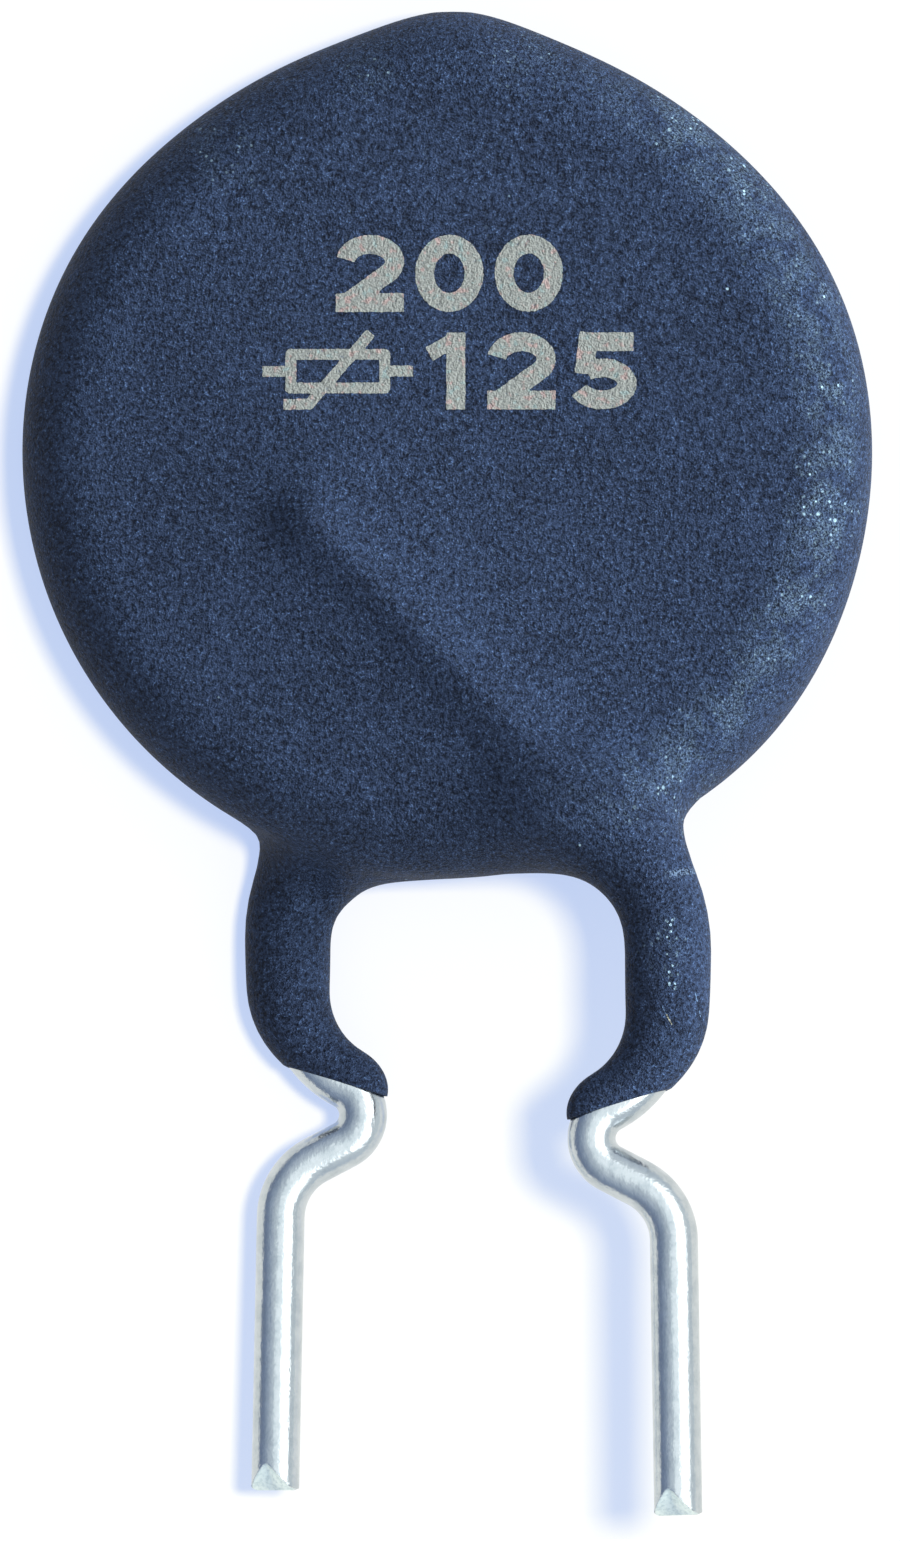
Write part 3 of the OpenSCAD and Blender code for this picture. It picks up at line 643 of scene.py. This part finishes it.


# Matte epoxy coat: pebbled grain in height and colour, pale flecks, dust in clusters, painted glints and a
# painted sheen on the right rim, a dotted row along the right leg of dust and painted glints, some fuzz at
# the right neck, a yellowish scratch and faint pale lines
def coatMaterial():
    material, m = newMaterial("dippedCoat")
    s, p = coatLook, m.levelPoint()
    grain, fine, height = pebbles(m, p)
    broad = m.noise(p, *s["broad"])
    coarseShare, fineShare, broadShare = s["toneShares"]
    tone = grain * coarseShare + fine * fineShare + broad * broadShare
    colour = m.mixColour(tone.ramp(*s["toneSpan"]), s["dark"], s["pale"])
    flecks = fine.ramp(*s["fleckFine"]) * grain.ramp(*s["fleckGrain"])
    colour = m.mixColour(flecks * s["fleckShare"], colour, s["fleck"])
    across, _, up = m.parts(p)
    front = up.ramp(*s["frontSpan"])
    flat = m.vector("MULTIPLY", p, (1.0, 1.0, 0.0))
    # Dust, and painted glints on the right rim: how much of it lies where, then its haze and its specks
    cover = s["elsewhere"]
    for x, y, radius, strength in s["clusters"]:
        cover = (1 - m.reachTo(flat, (x, y)).ramp(radius * s["clusterCore"], radius)) * strength + cover
    patchy = m.noise(p, *s["patches"]).ramp(*s["patchSpan"])
    out = m.reachTo(flat, (0, 0))
    # the right rim, where the lamps light the coat, gets painted glints among the specks and a painted pale
    # sheen
    rim = out.ramp(*s["rimStart"]) * (1 - out.ramp(*s["rimEnd"])) * across.ramp(*s["rimRight"])
    dustAndGlintShare = ((cover + rim * s["rimDustAndGlints"]) * patchy).maths("MINIMUM", 1.0) * front
    rimPaintedSheen = rim * patchy * fine.ramp(*s["rimSheenSpan"]) * front * s["rimPaintedSheen"]
    colour = m.mixColour(rimPaintedSheen, colour, s["dustAndGlintColour"])
    # specks and haze in the pale colour: dust in the clusters, painted glints where they lie on the right rim
    small, large = [m.specks(p, *speck) for speck in s["specks"]]
    colour = m.mixColour((small + large).maths("MINIMUM", 1.0) * dustAndGlintShare, colour, s["dustAndGlintColour"])
    colour = m.mixColour(fine.ramp(*s["hazeSpan"]) * dustAndGlintShare * s["haze"], colour, s["dustAndGlintColour"])
    colour = m.mixColour(m.specks(p, *s["strays"]) * s["strayShare"], colour, s["dustAndGlintColour"])
    # Marks
    # the dotted row follows the right leg's lit crest: pale specks there are painted glints as well as dust
    start, end, width = s["dotted"]
    row = (1 - m.reachToLine(flat, start, end).ramp(width * s["dottedCore"], width)) * front
    colour = m.mixColour(m.specks(p, *s["dots"]) * row * s["dotShare"], colour, s["dustAndGlintColour"])
    start, end, width = s["fuzzy"]
    fuzz = 1 - m.reachToLine(flat, start, end).ramp(s["fuzzCore"], width)
    fuzz = fuzz * fine.ramp(*s["fuzzSpan"]) * front
    colour = m.mixColour(fuzz * s["fuzzShare"], colour, s["fuzz"])
    for kind, tint in (("scratches", s["scratch"]), ("lines", s["line"])):
        for start, end, width in s[kind]:
            mark = 1 - m.reachToLine(flat, start, end).ramp(*[width * edge for edge in s["markEdge"]])
            worn = mark * grain.ramp(*s["markSpan"]) * front * s["markShare"]
            colour = m.mixColour(worn, colour, tint)
    m.finish(s["reliefDepth"], height, {
        "Base Color": colour, "Roughness": s["roughness"] + (grain - 0.5) * s["roughSway"],
        "Specular IOR Level": s["specular"]})
    return material


# The wires' finish, laid out as the coat's; a facet is where a cutter pinched the wire
wireLook = {
    "bright": (0.58, 0.62, 0.64), "dull": (0.44, 0.49, 0.52),
    # the facets' colours are paler and bluer than the wire's: painted highlight over the fresh cut
    "cutAndHighlight": (0.84, 0.93, 0.91), "cutDullAndHighlight": (0.66, 0.76, 0.76),
    "blotches": (2.6, 3.0, 0.55), "blotchSpan": (0.35, 0.70), "blotchShare": 0.6,
    "pits": (13.0, 2.0, 0.6), "pitSpan": (0.50, 0.75), "pitShare": 0.3, "cutSpan": (0.40, 0.70),
    "drawn": (1.0, 2.0, 0.5), "drawnStretch": (9.0, 0.7, 9.0),
    "reliefShares": (0.4, 0.45, 0.3), "reliefDepth": 0.000015,
    "roughness": 0.21, "roughBlotch": 0.2, "roughPit": 0.12, "roughCut": 0.3,
}


# Tinned wire: a hot-dipped skin with soft mottling and dull patches, faint draw lines along it, and at the
# facets a brighter, rougher cut whose paler, bluer colour is partly painted highlight
def wireMaterial():
    material, m = newMaterial("tinnedWire")
    s, p = wireLook, m.levelPoint()
    blotch, pits = m.noise(p, *s["blotches"]), m.noise(p, *s["pits"])
    drawn = m.noise(m.vector("MULTIPLY", p, s["drawnStretch"]), *s["drawn"])
    facet = m.node("ShaderNodeAttribute", {"attribute_name": "facet"}, {}, 2)
    mottled = blotch.ramp(*s["blotchSpan"]) * s["blotchShare"] + pits.ramp(*s["pitSpan"]) * s["pitShare"]
    # the facets take the paler, bluer colours: a painted highlight together with the fresh cut
    cutAndHighlight = m.mixColour(pits.ramp(*s["cutSpan"]), s["cutAndHighlight"], s["cutDullAndHighlight"])
    colour = m.mixColour(facet, m.mixColour(mottled, s["bright"], s["dull"]), cutAndHighlight)
    heights = [value * share for value, share in zip((blotch, pits, drawn), s["reliefShares"])]
    sway = (blotch - 0.5) * s["roughBlotch"]
    m.finish(s["reliefDepth"], heights[0] + heights[1] + heights[2], {
        "Base Color": colour, "Metallic": 1.0,
        "Roughness": s["roughness"] + sway + (pits - 0.5) * s["roughPit"] + facet * s["roughCut"]})
    return material


coatFaces = [*coatQuads.tolist(), *np.concatenate(coatTriangles).tolist()]
coatPiece = makePiece("coatSkin", coatRest, coatFaces, coatMaterial(), coat["sharp"])
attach(coatPiece, "root")
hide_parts("coating")
print("stage: coat made")

wire = {
    "round": 80, "pinchAngle": 41.0, "pinchLand": 0.06, "pinchTurn": 20.0, "pinchRings": 30, "corner": 0.09,
    "pinchBefore": 0.02, "pinchSoft": 0.05, "pinchLeast": 0.02, "facetEdge": 0.01, "sharp": 28,
}


# A round wire carried along its path. Towards the tip its section is pressed flat from both sides, as a
# cutter leaves it: over a point u off the wire's middle the facet starts at a distance from the tip that
# falls from the full pinch at u = 0 to nothing at the wire's side, and slopes from there to the land, whose
# ends are rounded. Gives points, rings and how far each point lies on a facet.
def leadPoints(side):
    path = paths[side]
    tip, way = path[-1], unit(path[-1] - path[-2])
    pinch = (wireR - wire["pinchLand"] / 2) / math.tan(math.radians(wire["pinchAngle"]))
    before = wire["pinchBefore"]
    path = path[np.linalg.norm(path - tip, axis=1) > pinch + 2 * before]
    toTip = (pinch + before) * np.linspace(1, 0, wire["pinchRings"])
    path = np.concatenate([path, tip - np.outer(toTip, way)])
    back = np.linalg.norm(path - tip, axis=1)[:, None]
    along = np.gradient(path, axis=0)
    along /= np.linalg.norm(along, axis=1)[:, None]
    along[-wire["pinchRings"] - 1:] = way
    across = np.stack([-along[:, 1], along[:, 0]], 1)
    angles = 2 * math.pi * (np.arange(wire["round"]) + 0.5) / wire["round"]
    inward = np.maximum(wire["corner"] - back, 0)
    narrow = 1 - (wire["corner"] - np.sqrt(wire["corner"] ** 2 - inward ** 2)) / wireR
    u, v = wireR * np.cos(angles)[None, :] * narrow, wireR * np.sin(angles)[None, :] + 0 * back
    soft = wire["pinchSoft"]
    start = pinch * np.maximum(1 - (np.sqrt(u ** 2 + soft ** 2) - soft) / (wireR - soft), wire["pinchLeast"])
    land = wire["pinchLand"] / 2
    limit = land + np.maximum(np.abs(v) - land, 0) * np.clip(back / start, 0, 1)
    facet = np.clip((np.abs(v) - limit) / wire["facetEdge"], 0, 1).ravel()
    v = np.sign(v) * np.minimum(np.abs(v), limit)
    turn = math.radians(wire["pinchTurn"])
    u, v = u * math.cos(turn) - v * math.sin(turn), u * math.sin(turn) + v * math.cos(turn)
    x, y = path[:, None, 0] + u * across[:, None, 0], path[:, None, 1] + u * across[:, None, 1]
    points = np.dstack([x, y, side * leadZ + v]).reshape(-1, 3)
    return points, np.arange(len(points)).reshape(len(path), -1), facet


def makeLead(name, side, node, material):
    points, rings, facet = leadPoints(side)
    ends = [rings[0][::-1].tolist(), rings[-1].tolist()]
    piece = makePiece(name, atRest(points), [*ringQuads(rings).tolist(), *ends], material, wire["sharp"])
    piece.data.attributes.new("facet", "FLOAT", "POINT").data.foreach_set("value", facet.astype(np.float32))
    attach(piece, "root")
    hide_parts(node)


tinned = wireMaterial()
makeLead("frontWire", front, "front_lead", tinned)
makeLead("rearWire", rear, "rear_lead", tinned)
print("stage: leads made")

# The print on the front, in millimetres of the level pose: plain numbers and the general sign for a
# heat-sensitive resistor. A line has its left end, its foot, its glyphs with their widths, and their spacing.
ink = {
    "lines": [(-2.25, 2.806, [("2", 1.45), ("0", 1.45), ("0", 1.45)], 0.24),
              (-3.80, 0.721, [("sign", 3.2), ("1", 1.0), ("2", 1.45), ("5", 1.45)], 0.29)],
    "tall": 1.64, "half": 0.2, "signHalf": 0.115,
    # Numerals, in shares of the width or height: the 1's stem and flag, the 2's bow and foot, the 5's bar,
    # back and bowl, with the bows from one angle to another
    "stemAt": 0.62, "flagFoot": (0.05, 0.72), "flagTop": 0.92, "flagThin": 0.8,
    "bowTall": 0.37, "bowSpan": (172, -34), "footAt": 1.25,
    "bar": (0.15, 0.94), "back": (0.15, 0.08, 0.46), "bowl": 0.33, "bowlLeft": 0.02, "bowlSpan": (128, -158),
    # The sign, in millimetres: the box's ends and half height, and the slanted line's foot, bend and top
    "boxEnds": (0.6, 2.6), "boxHalf": 0.36, "slant": (0.45, 1.0, 2.3),
    # The grid that the strokes are cut from, the waviness of their edges, and the layer's faces
    "cell": 0.028, "gridX": (-4.1, 4.5), "gridY": (0.5, 4.7), "joint": 0.03, "rough": 0.004, "roughRounds": 2,
    "roughGain": 1.6, "leastSlope": 0.3, "mostMove": 0.6, "lift": 0.006, "deep": 0.02, "seed": 5, "sharp": 40,
}


# Points on an arc of an ellipse: the centre plus each radius times the angle's cosine or sine
def bow(cx, cy, rx, ry, start, end, count=28):
    a = np.radians(np.linspace(start, end, count))
    return np.stack([cx + rx * np.cos(a), cy + ry * np.sin(a)], 1)


# A glyph as strokes, each a line of points and half its width, on a cell w wide and as tall as the line
def glyphStrokes(kind, w):
    h, r = ink["tall"], ink["half"]
    if kind == "0":
        return [(bow(w / 2, h / 2, w / 2 - r, h / 2 - r, 0, 360, 49), r)]
    if kind == "1":
        stem, (left, foot) = ink["stemAt"] * w, ink["flagFoot"]
        flag = np.array([[left, foot * h], [stem, ink["flagTop"] * h]])
        return [(np.array([[stem, h], [stem, 0]]), r), (flag, r * ink["flagThin"])]
    if kind == "2":
        top = bow(w / 2, h - r - ink["bowTall"], w / 2 - r, ink["bowTall"], *ink["bowSpan"])
        return [(np.concatenate([top, [[r * ink["footAt"], r]]]), r), (np.array([[0, r], [w, r]]), r)]
    if kind == "5":
        rise, (barLeft, barRight), (top, foot, low) = ink["bowl"] * h, ink["bar"], ink["back"]
        bowl = bow(w / 2 - ink["bowlLeft"], rise, w / 2 - r, rise - r, *ink["bowlSpan"], 40)
        return [(np.array([[barLeft * w, h - r], [barRight * w, h - r]]), r),
                (np.array([[top * w + r, h], [foot * w + r, low * h]]), r), (bowl, r)]
    # The sign: a box between two leads, crossed by a slanted line with a foot
    s, m, (a, b), tall = ink["signHalf"], h / 2, ink["boxEnds"], ink["boxHalf"]
    box = np.array([[a, m - tall], [b, m - tall], [b, m + tall], [a, m + tall], [a, m - tall], [b, m - tall]])
    foot, bend, top = ink["slant"]
    return [(box, s), (np.array([[0, m], [a, m]]), s), (np.array([[b, m], [w, m]]), s),
            (np.array([[foot, s], [bend, s], [top, h]]), s)]


# How far a point lies outside a stroke: across or along each straight stretch, whichever is more, with a
# round joint where two stretches meet at a marked angle
def strokeGap(x, y, points, half):
    gap, last = np.full(x.shape, 1e9), len(points) - 2
    for k, (a, b) in enumerate(zip(points[:-1], points[1:])):
        length = np.linalg.norm(b - a)
        dx, dy = (b - a) / length
        along, off = (x - a[0]) * dx + (y - a[1]) * dy, np.abs((x - a[0]) * dy - (y - a[1]) * dx)
        before, after = (0 if k == 0 else ink["joint"]), (0 if k == last else ink["joint"])
        gap = np.minimum(gap, np.maximum(off - half, np.maximum(-along - before, along - length - after)))
        if k < last and unit(b - a) @ unit(points[k + 2] - b) < 0.9:
            gap = np.minimum(gap, np.hypot(x - b[0], y - b[1]) - half)
    return gap


# The ink layer: the cells of a level grid whose middle lies in a stroke. Points on the outline move down the
# slope of the distance to the stroke's own edge, and all are laid on the coat's skin, with walls round them.
def inkPoints():
    c = ink["cell"]
    x, y = np.meshgrid(np.arange(*ink["gridX"], c), np.arange(*ink["gridY"], c), indexing="ij")
    rng = np.random.default_rng(ink["seed"])
    wobble = rng.normal(0, 1, x.shape)
    for _ in range(ink["roughRounds"]):
        beside = wobble + np.roll(wobble, 1, 0) + np.roll(wobble, 1, 1) + np.roll(wobble, (1, 1), (0, 1))
        wobble = beside / 4 * ink["roughGain"]
    gap = np.full(x.shape, 1e9)
    for left, base, glyphs, space in ink["lines"]:
        for kind, width in glyphs:
            for points, half in glyphStrokes(kind, width):
                gap = np.minimum(gap, strokeGap(x - left, y - base, points, half))
            left += width + space
    gap = gap + ink["rough"] * wobble
    middle = (gap[:-1, :-1] + gap[1:, :-1] + gap[1:, 1:] + gap[:-1, 1:]) / 4
    i, j = np.nonzero(middle < 0)
    slots = np.arange(x.size).reshape(x.shape)
    quads = np.stack([slots[i, j], slots[i + 1, j], slots[i + 1, j + 1], slots[i, j + 1]], 1)
    uses = np.bincount(quads.ravel(), minlength=x.size)
    slopeX, slopeY = np.gradient(gap, c)
    steep = np.maximum(slopeX ** 2 + slopeY ** 2, ink["leastSlope"])
    onRim = ((uses > 0) & (uses < 4)).reshape(x.shape)
    most = c * ink["mostMove"]
    move = np.where(onRim, np.clip(-gap / steep, -most, most), 0)
    x, y = x + move * slopeX, y + move * slopeY
    flat = np.stack([x.ravel(), y.ravel(), np.zeros(x.size)], 1)
    used = np.flatnonzero(uses)
    flat[used, 2] = skinZ(flat[used, 0], flat[used, 1], front)
    a, b = quads.ravel(), np.roll(quads, -1, 1).ravel()
    atBorder = ~np.isin(a * x.size + b, b * x.size + a)
    a, b, n = a[atBorder], b[atBorder], x.size
    walls = np.stack([a, a + n, b + n, b], 1)
    points = np.concatenate([flat + [0, 0, ink["lift"]], flat - [0, 0, ink["deep"]]])
    return points, np.concatenate([quads, quads[:, ::-1] + n, walls])


inkLook = {
    "pale": (0.290, 0.285, 0.245), "dim": (0.235, 0.233, 0.205), "toneSpan": (0.35, 0.62),
    "toneShares": (0.5, 0.5), "tints": (6.0, 1.0, 0.5),
    "warm": (0.42, 0.24, 0.21), "warmSpan": (0.58, 0.70), "warmShare": 0.55,
    "cool": (0.22, 0.36, 0.34), "coolSpan": (0.28, 0.38), "coolShare": 0.35,
    "thin": (0.11, 0.13, 0.16), "thinSpan": (0.26, 0.36), "thinShare": 0.6,
    "roughness": 0.6, "roughSway": 0.2, "specular": 0.25,
}


# Stamped ink: pale grey over the pebbled coat, thin in its hollows, with warm and cool specks
def inkMaterial():
    material, m = newMaterial("stampedInk")
    s, p = inkLook, m.levelPoint()
    grain, fine, height = pebbles(m, p)
    tint = m.noise(p, *s["tints"])
    coarseShare, fineShare = s["toneShares"]
    tone = grain * coarseShare + fine * fineShare
    colour = m.mixColour(tone.ramp(*s["toneSpan"]), s["dim"], s["pale"])
    colour = m.mixColour(tint.ramp(*s["warmSpan"]) * s["warmShare"], colour, s["warm"])
    colour = m.mixColour((1 - tint.ramp(*s["coolSpan"])) * s["coolShare"], colour, s["cool"])
    colour = m.mixColour((1 - grain.ramp(*s["thinSpan"])) * s["thinShare"], colour, s["thin"])
    m.finish(coatLook["reliefDepth"], height, {
        "Base Color": colour, "Roughness": s["roughness"] + (fine - 0.5) * s["roughSway"],
        "Specular IOR Level": s["specular"]})
    return material


inkLayer, inkFaces = inkPoints()
inkPiece = makePiece("printedNumbers", atRest(inkLayer), inkFaces.tolist(), inkMaterial(), ink["sharp"])
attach(inkPiece, "root")
print("stage: print made of", len(inkFaces), "faces")

innerLook = {
    "sinteredOxide": {
        "nodes": ["thermistor_disc"], "dark": (0.030, 0.030, 0.033), "pale": (0.085, 0.085, 0.09),
        "grain": (14.0, 3.0, 0.6), "broad": (2.1, 2.0, 0.5), "metal": 0.0, "rough": 0.7, "depth": 0.00001},
    "firedSilver": {
        "nodes": ["front_electrode", "rear_electrode"],
        "dark": (0.60, 0.59, 0.56), "pale": (0.84, 0.83, 0.80),
        "grain": (20.0, 3.0, 0.6), "broad": (3.0, 2.0, 0.5), "metal": 1.0, "rough": 0.42, "depth": 0.000004},
    "solder": {
        "nodes": ["front_solder", "rear_solder"], "dark": (0.42, 0.43, 0.44), "pale": (0.68, 0.69, 0.70),
        "grain": (5.0, 3.0, 0.6), "broad": (0.75, 2.0, 0.5), "metal": 1.0, "rough": 0.34, "depth": 0.00001},
}
innerShares = {"grain": 0.7, "broad": 0.3, "toneSpan": (0.35, 0.65), "roughSway": 0.2}


# The parts under the coat: grained ceramic, screened silver and frozen solder
def dressInner(name, s):
    material, m = newMaterial(name)
    p = m.levelPoint()
    grain, broad = m.noise(p, *s["grain"]), m.noise(p, *s["broad"])
    tone = (grain * innerShares["grain"] + broad * innerShares["broad"]).ramp(*innerShares["toneSpan"])
    m.finish(s["depth"], grain, {
        "Base Color": m.mixColour(tone, s["dark"], s["pale"]), "Metallic": s["metal"],
        "Roughness": s["rough"] + (broad - 0.5) * innerShares["roughSway"]})
    for node in s["nodes"]:
        thing = frame["nodes"][node]
        if not thing.material_slots:
            thing.data.materials.append(material)
        for place in thing.material_slots:
            place.material = material


for innerName, innerSettings in innerLook.items():
    dressInner(innerName, innerSettings)
print("stage: inner parts dressed")

# Floor, its size in metres: plain pale to the light that it sends back. What the camera and reflections see
# of it is a tint, darkened in the shadow, and a lift that brings it to white and the shadow to a cool grey.
floorLook = {
    "size": 0.5, "plain": (0.27, 0.27, 0.27), "tint": (0.31, 0.25, 0.09), "lift": (0.43, 0.545, 0.855),
}


def makeFloor():
    material, m = newMaterial("paleFloor")
    rays = ("Is Camera Ray", "Is Glossy Ray", "Is Transmission Ray")
    byCamera, byGloss, byGlass = [m.node("ShaderNodeLightPath", {}, {}, ray) for ray in rays]
    seen = byCamera.maths("MAXIMUM", byGloss).maths("MAXIMUM", byGlass)
    plain = m.node("ShaderNodeBsdfDiffuse", {}, {0: (*floorLook["plain"], 1)})
    shade = m.node("ShaderNodeBsdfDiffuse", {}, {0: (*floorLook["tint"], 1)})
    lift = m.node("ShaderNodeEmission", {}, {0: (*floorLook["lift"], 1), 1: 1.0})
    both = m.node("ShaderNodeAddShader", {}, {0: shade, 1: lift})
    floorShader = m.node("ShaderNodeMixShader", {}, {0: seen, 1: plain, 2: both})
    m.node("ShaderNodeOutputMaterial", {}, {0: floorShader})
    half = floorLook["size"] / 2 * 1000
    corners = np.array([[-1, -1, 0], [1, -1, 0], [1, 1, 0], [-1, 1, 0]]) * half
    floor = makePiece("floor", corners, [(0, 1, 2, 3)], material)


makeFloor()

# Soft studio light: azimuth is counted from +X towards +Y, sizes in metres. Two low boxes on the right rake
# over the coat and a weak one fills in from the leads' end, none of them mirrored in it. Boxes overhead shine
# in the wires, and the floor has a small high box of its own, so that its shadow stays close to the part.
lights = {
    "sideBox": {"azimuth": 15, "elevation": 32, "distance": 0.30, "wide": 0.52, "high": 0.11,
                "radiance": 12.0, "colour": (0.80, 0.90, 1.0), "lights": "coat", "mirrored": False},
    "lowBox": {"azimuth": 8, "elevation": 8, "distance": 0.30, "wide": 0.56, "high": 0.05,
               "radiance": 14.0, "colour": (0.72, 0.88, 1.0), "lights": "coat", "mirrored": False},
    "endBox": {"azimuth": -52, "elevation": 35, "distance": 0.30, "wide": 0.20, "high": 0.11,
               "radiance": 4.0, "colour": (0.80, 0.90, 1.0), "lights": "coat", "mirrored": False},
    "skyBox": {"azimuth": 0, "elevation": 67.5, "distance": 0.34, "wide": 0.56, "high": 0.52,
               "radiance": 0.5, "colour": (0.96, 1.0, 1.0), "lights": "wires", "mirrored": True},
    "upperBox": {"azimuth": 0, "elevation": 51, "distance": 0.34, "wide": 0.56, "high": 0.25,
                 "radiance": 1.6, "colour": (1.0, 1.0, 1.0), "lights": "wires", "mirrored": True},
    "floorBox": {"azimuth": 14, "elevation": 78.5, "distance": 1.20, "wide": 0.144, "high": 0.144,
                 "radiance": 308.0, "colour": (1.0, 1.0, 1.0), "lights": "floor", "mirrored": True},
}
lightGroups = {"floor": "floor", "frontWire": "wires", "rearWire": "wires"}


# A box faces the origin from its angles and distance, and lights only its own group of pieces
def makeLight(name, s):
    lamp = bpy.data.lights.new(name, "AREA")
    lamp.shape, lamp.size, lamp.size_y = "RECTANGLE", s["wide"], s["high"]
    lamp.energy, lamp.color = s["radiance"] * math.pi * s["wide"] * s["high"], s["colour"]
    thing = bpy.data.objects.new(name, lamp)
    a, e = math.radians(s["azimuth"]), math.radians(s["elevation"])
    way = (math.cos(a) * math.cos(e), math.sin(a) * math.cos(e), math.sin(e))
    thing.location = [s["distance"] * v for v in way]
    thing.rotation_euler = (math.pi / 2 - e, 0, a + math.pi / 2)
    thing.visible_camera = False
    bpy.context.scene.collection.objects.link(thing)
    thing.visible_glossy = s["mirrored"]
    lit = bpy.data.collections.new(name + "Receivers")
    for piece in bpy.data.objects:
        if piece.type == "MESH" and lightGroups.get(piece.name, "coat") == s["lights"]:
            lit.objects.link(piece)
    thing.light_linking.receiver_collection = lit


for lightName, lightSettings in lights.items():
    makeLight(lightName, lightSettings)

# The room's brightness by its angle to a way that lies 37 degrees right of overhead
worldLook = {
    "way": (0.602, 0.0, 0.799),
    "stops": [(0.0, (0.20, 0.26, 0.36)), (0.34, (0.22, 0.28, 0.42)), (0.53, (0.40, 0.48, 0.61)),
              (0.70, (0.68, 0.76, 0.85)), (0.84, (0.76, 0.83, 0.88)), (0.95, (0.78, 0.83, 0.86))],
}


# The room: dark on the left, pale overhead and on the right; white where the camera sees it
def makeWorld():
    world = bpy.data.worlds.new("studio")
    world.use_nodes = True
    bpy.context.scene.world = world
    m = Maker(world.node_tree)
    place = m.node("ShaderNodeTexCoord", {}, {}, 0)
    facing = m.vector("DOT_PRODUCT", place, worldLook["way"], out=1)
    colour = m.node("ShaderNodeValToRGB", {"stops": worldLook["stops"]}, {0: facing * 0.5 + 0.5})
    room = m.node("ShaderNodeBackground", {}, {0: colour, 1: 1.0})
    white = m.node("ShaderNodeBackground", {}, {0: (1, 1, 1, 1), 1: 1.0})
    byCamera = m.node("ShaderNodeLightPath", {}, {}, "Is Camera Ray")
    seen = m.node("ShaderNodeMixShader", {}, {0: byCamera, 1: room, 2: white})
    m.node("ShaderNodeOutputWorld", {}, {0: seen})


makeWorld()
print("stage: floor, lights and room made")

# Camera straight above with a long lens: the photograph's frame of 900 by 1541 pixels at 47 to a millimetre.
# Its distance is in metres; its place over the part and the height drawn to that scale are in millimetres.
view = {
    "distance": 0.8, "across": 0.064, "down": -6.82, "focusHeight": 2.6, "pixelsPerMm": 47.0,
    "tall": 1541, "sensor": 36.0, "near": 0.01, "far": 10.0,
}
cameraData = bpy.data.cameras.new("camera")
camera = bpy.data.objects.new("camera", cameraData)
bpy.context.scene.collection.objects.link(camera)
frameMiddle = atRest(np.array([[0.0, 0.0, 0.0]]))[0] + [view["across"], view["down"], 0]
camera.location = (frameMiddle[0] * 0.001, frameMiddle[1] * 0.001, view["distance"])
cameraData.sensor_width = view["sensor"]
frameTall = view["tall"] / view["pixelsPerMm"]
cameraData.lens = view["sensor"] * (view["distance"] * 1000 - view["focusHeight"]) / frameTall
cameraData.clip_start, cameraData.clip_end = view["near"], view["far"]
bpy.context.scene.camera = camera
bpy.context.scene.view_settings.view_transform = "Standard"
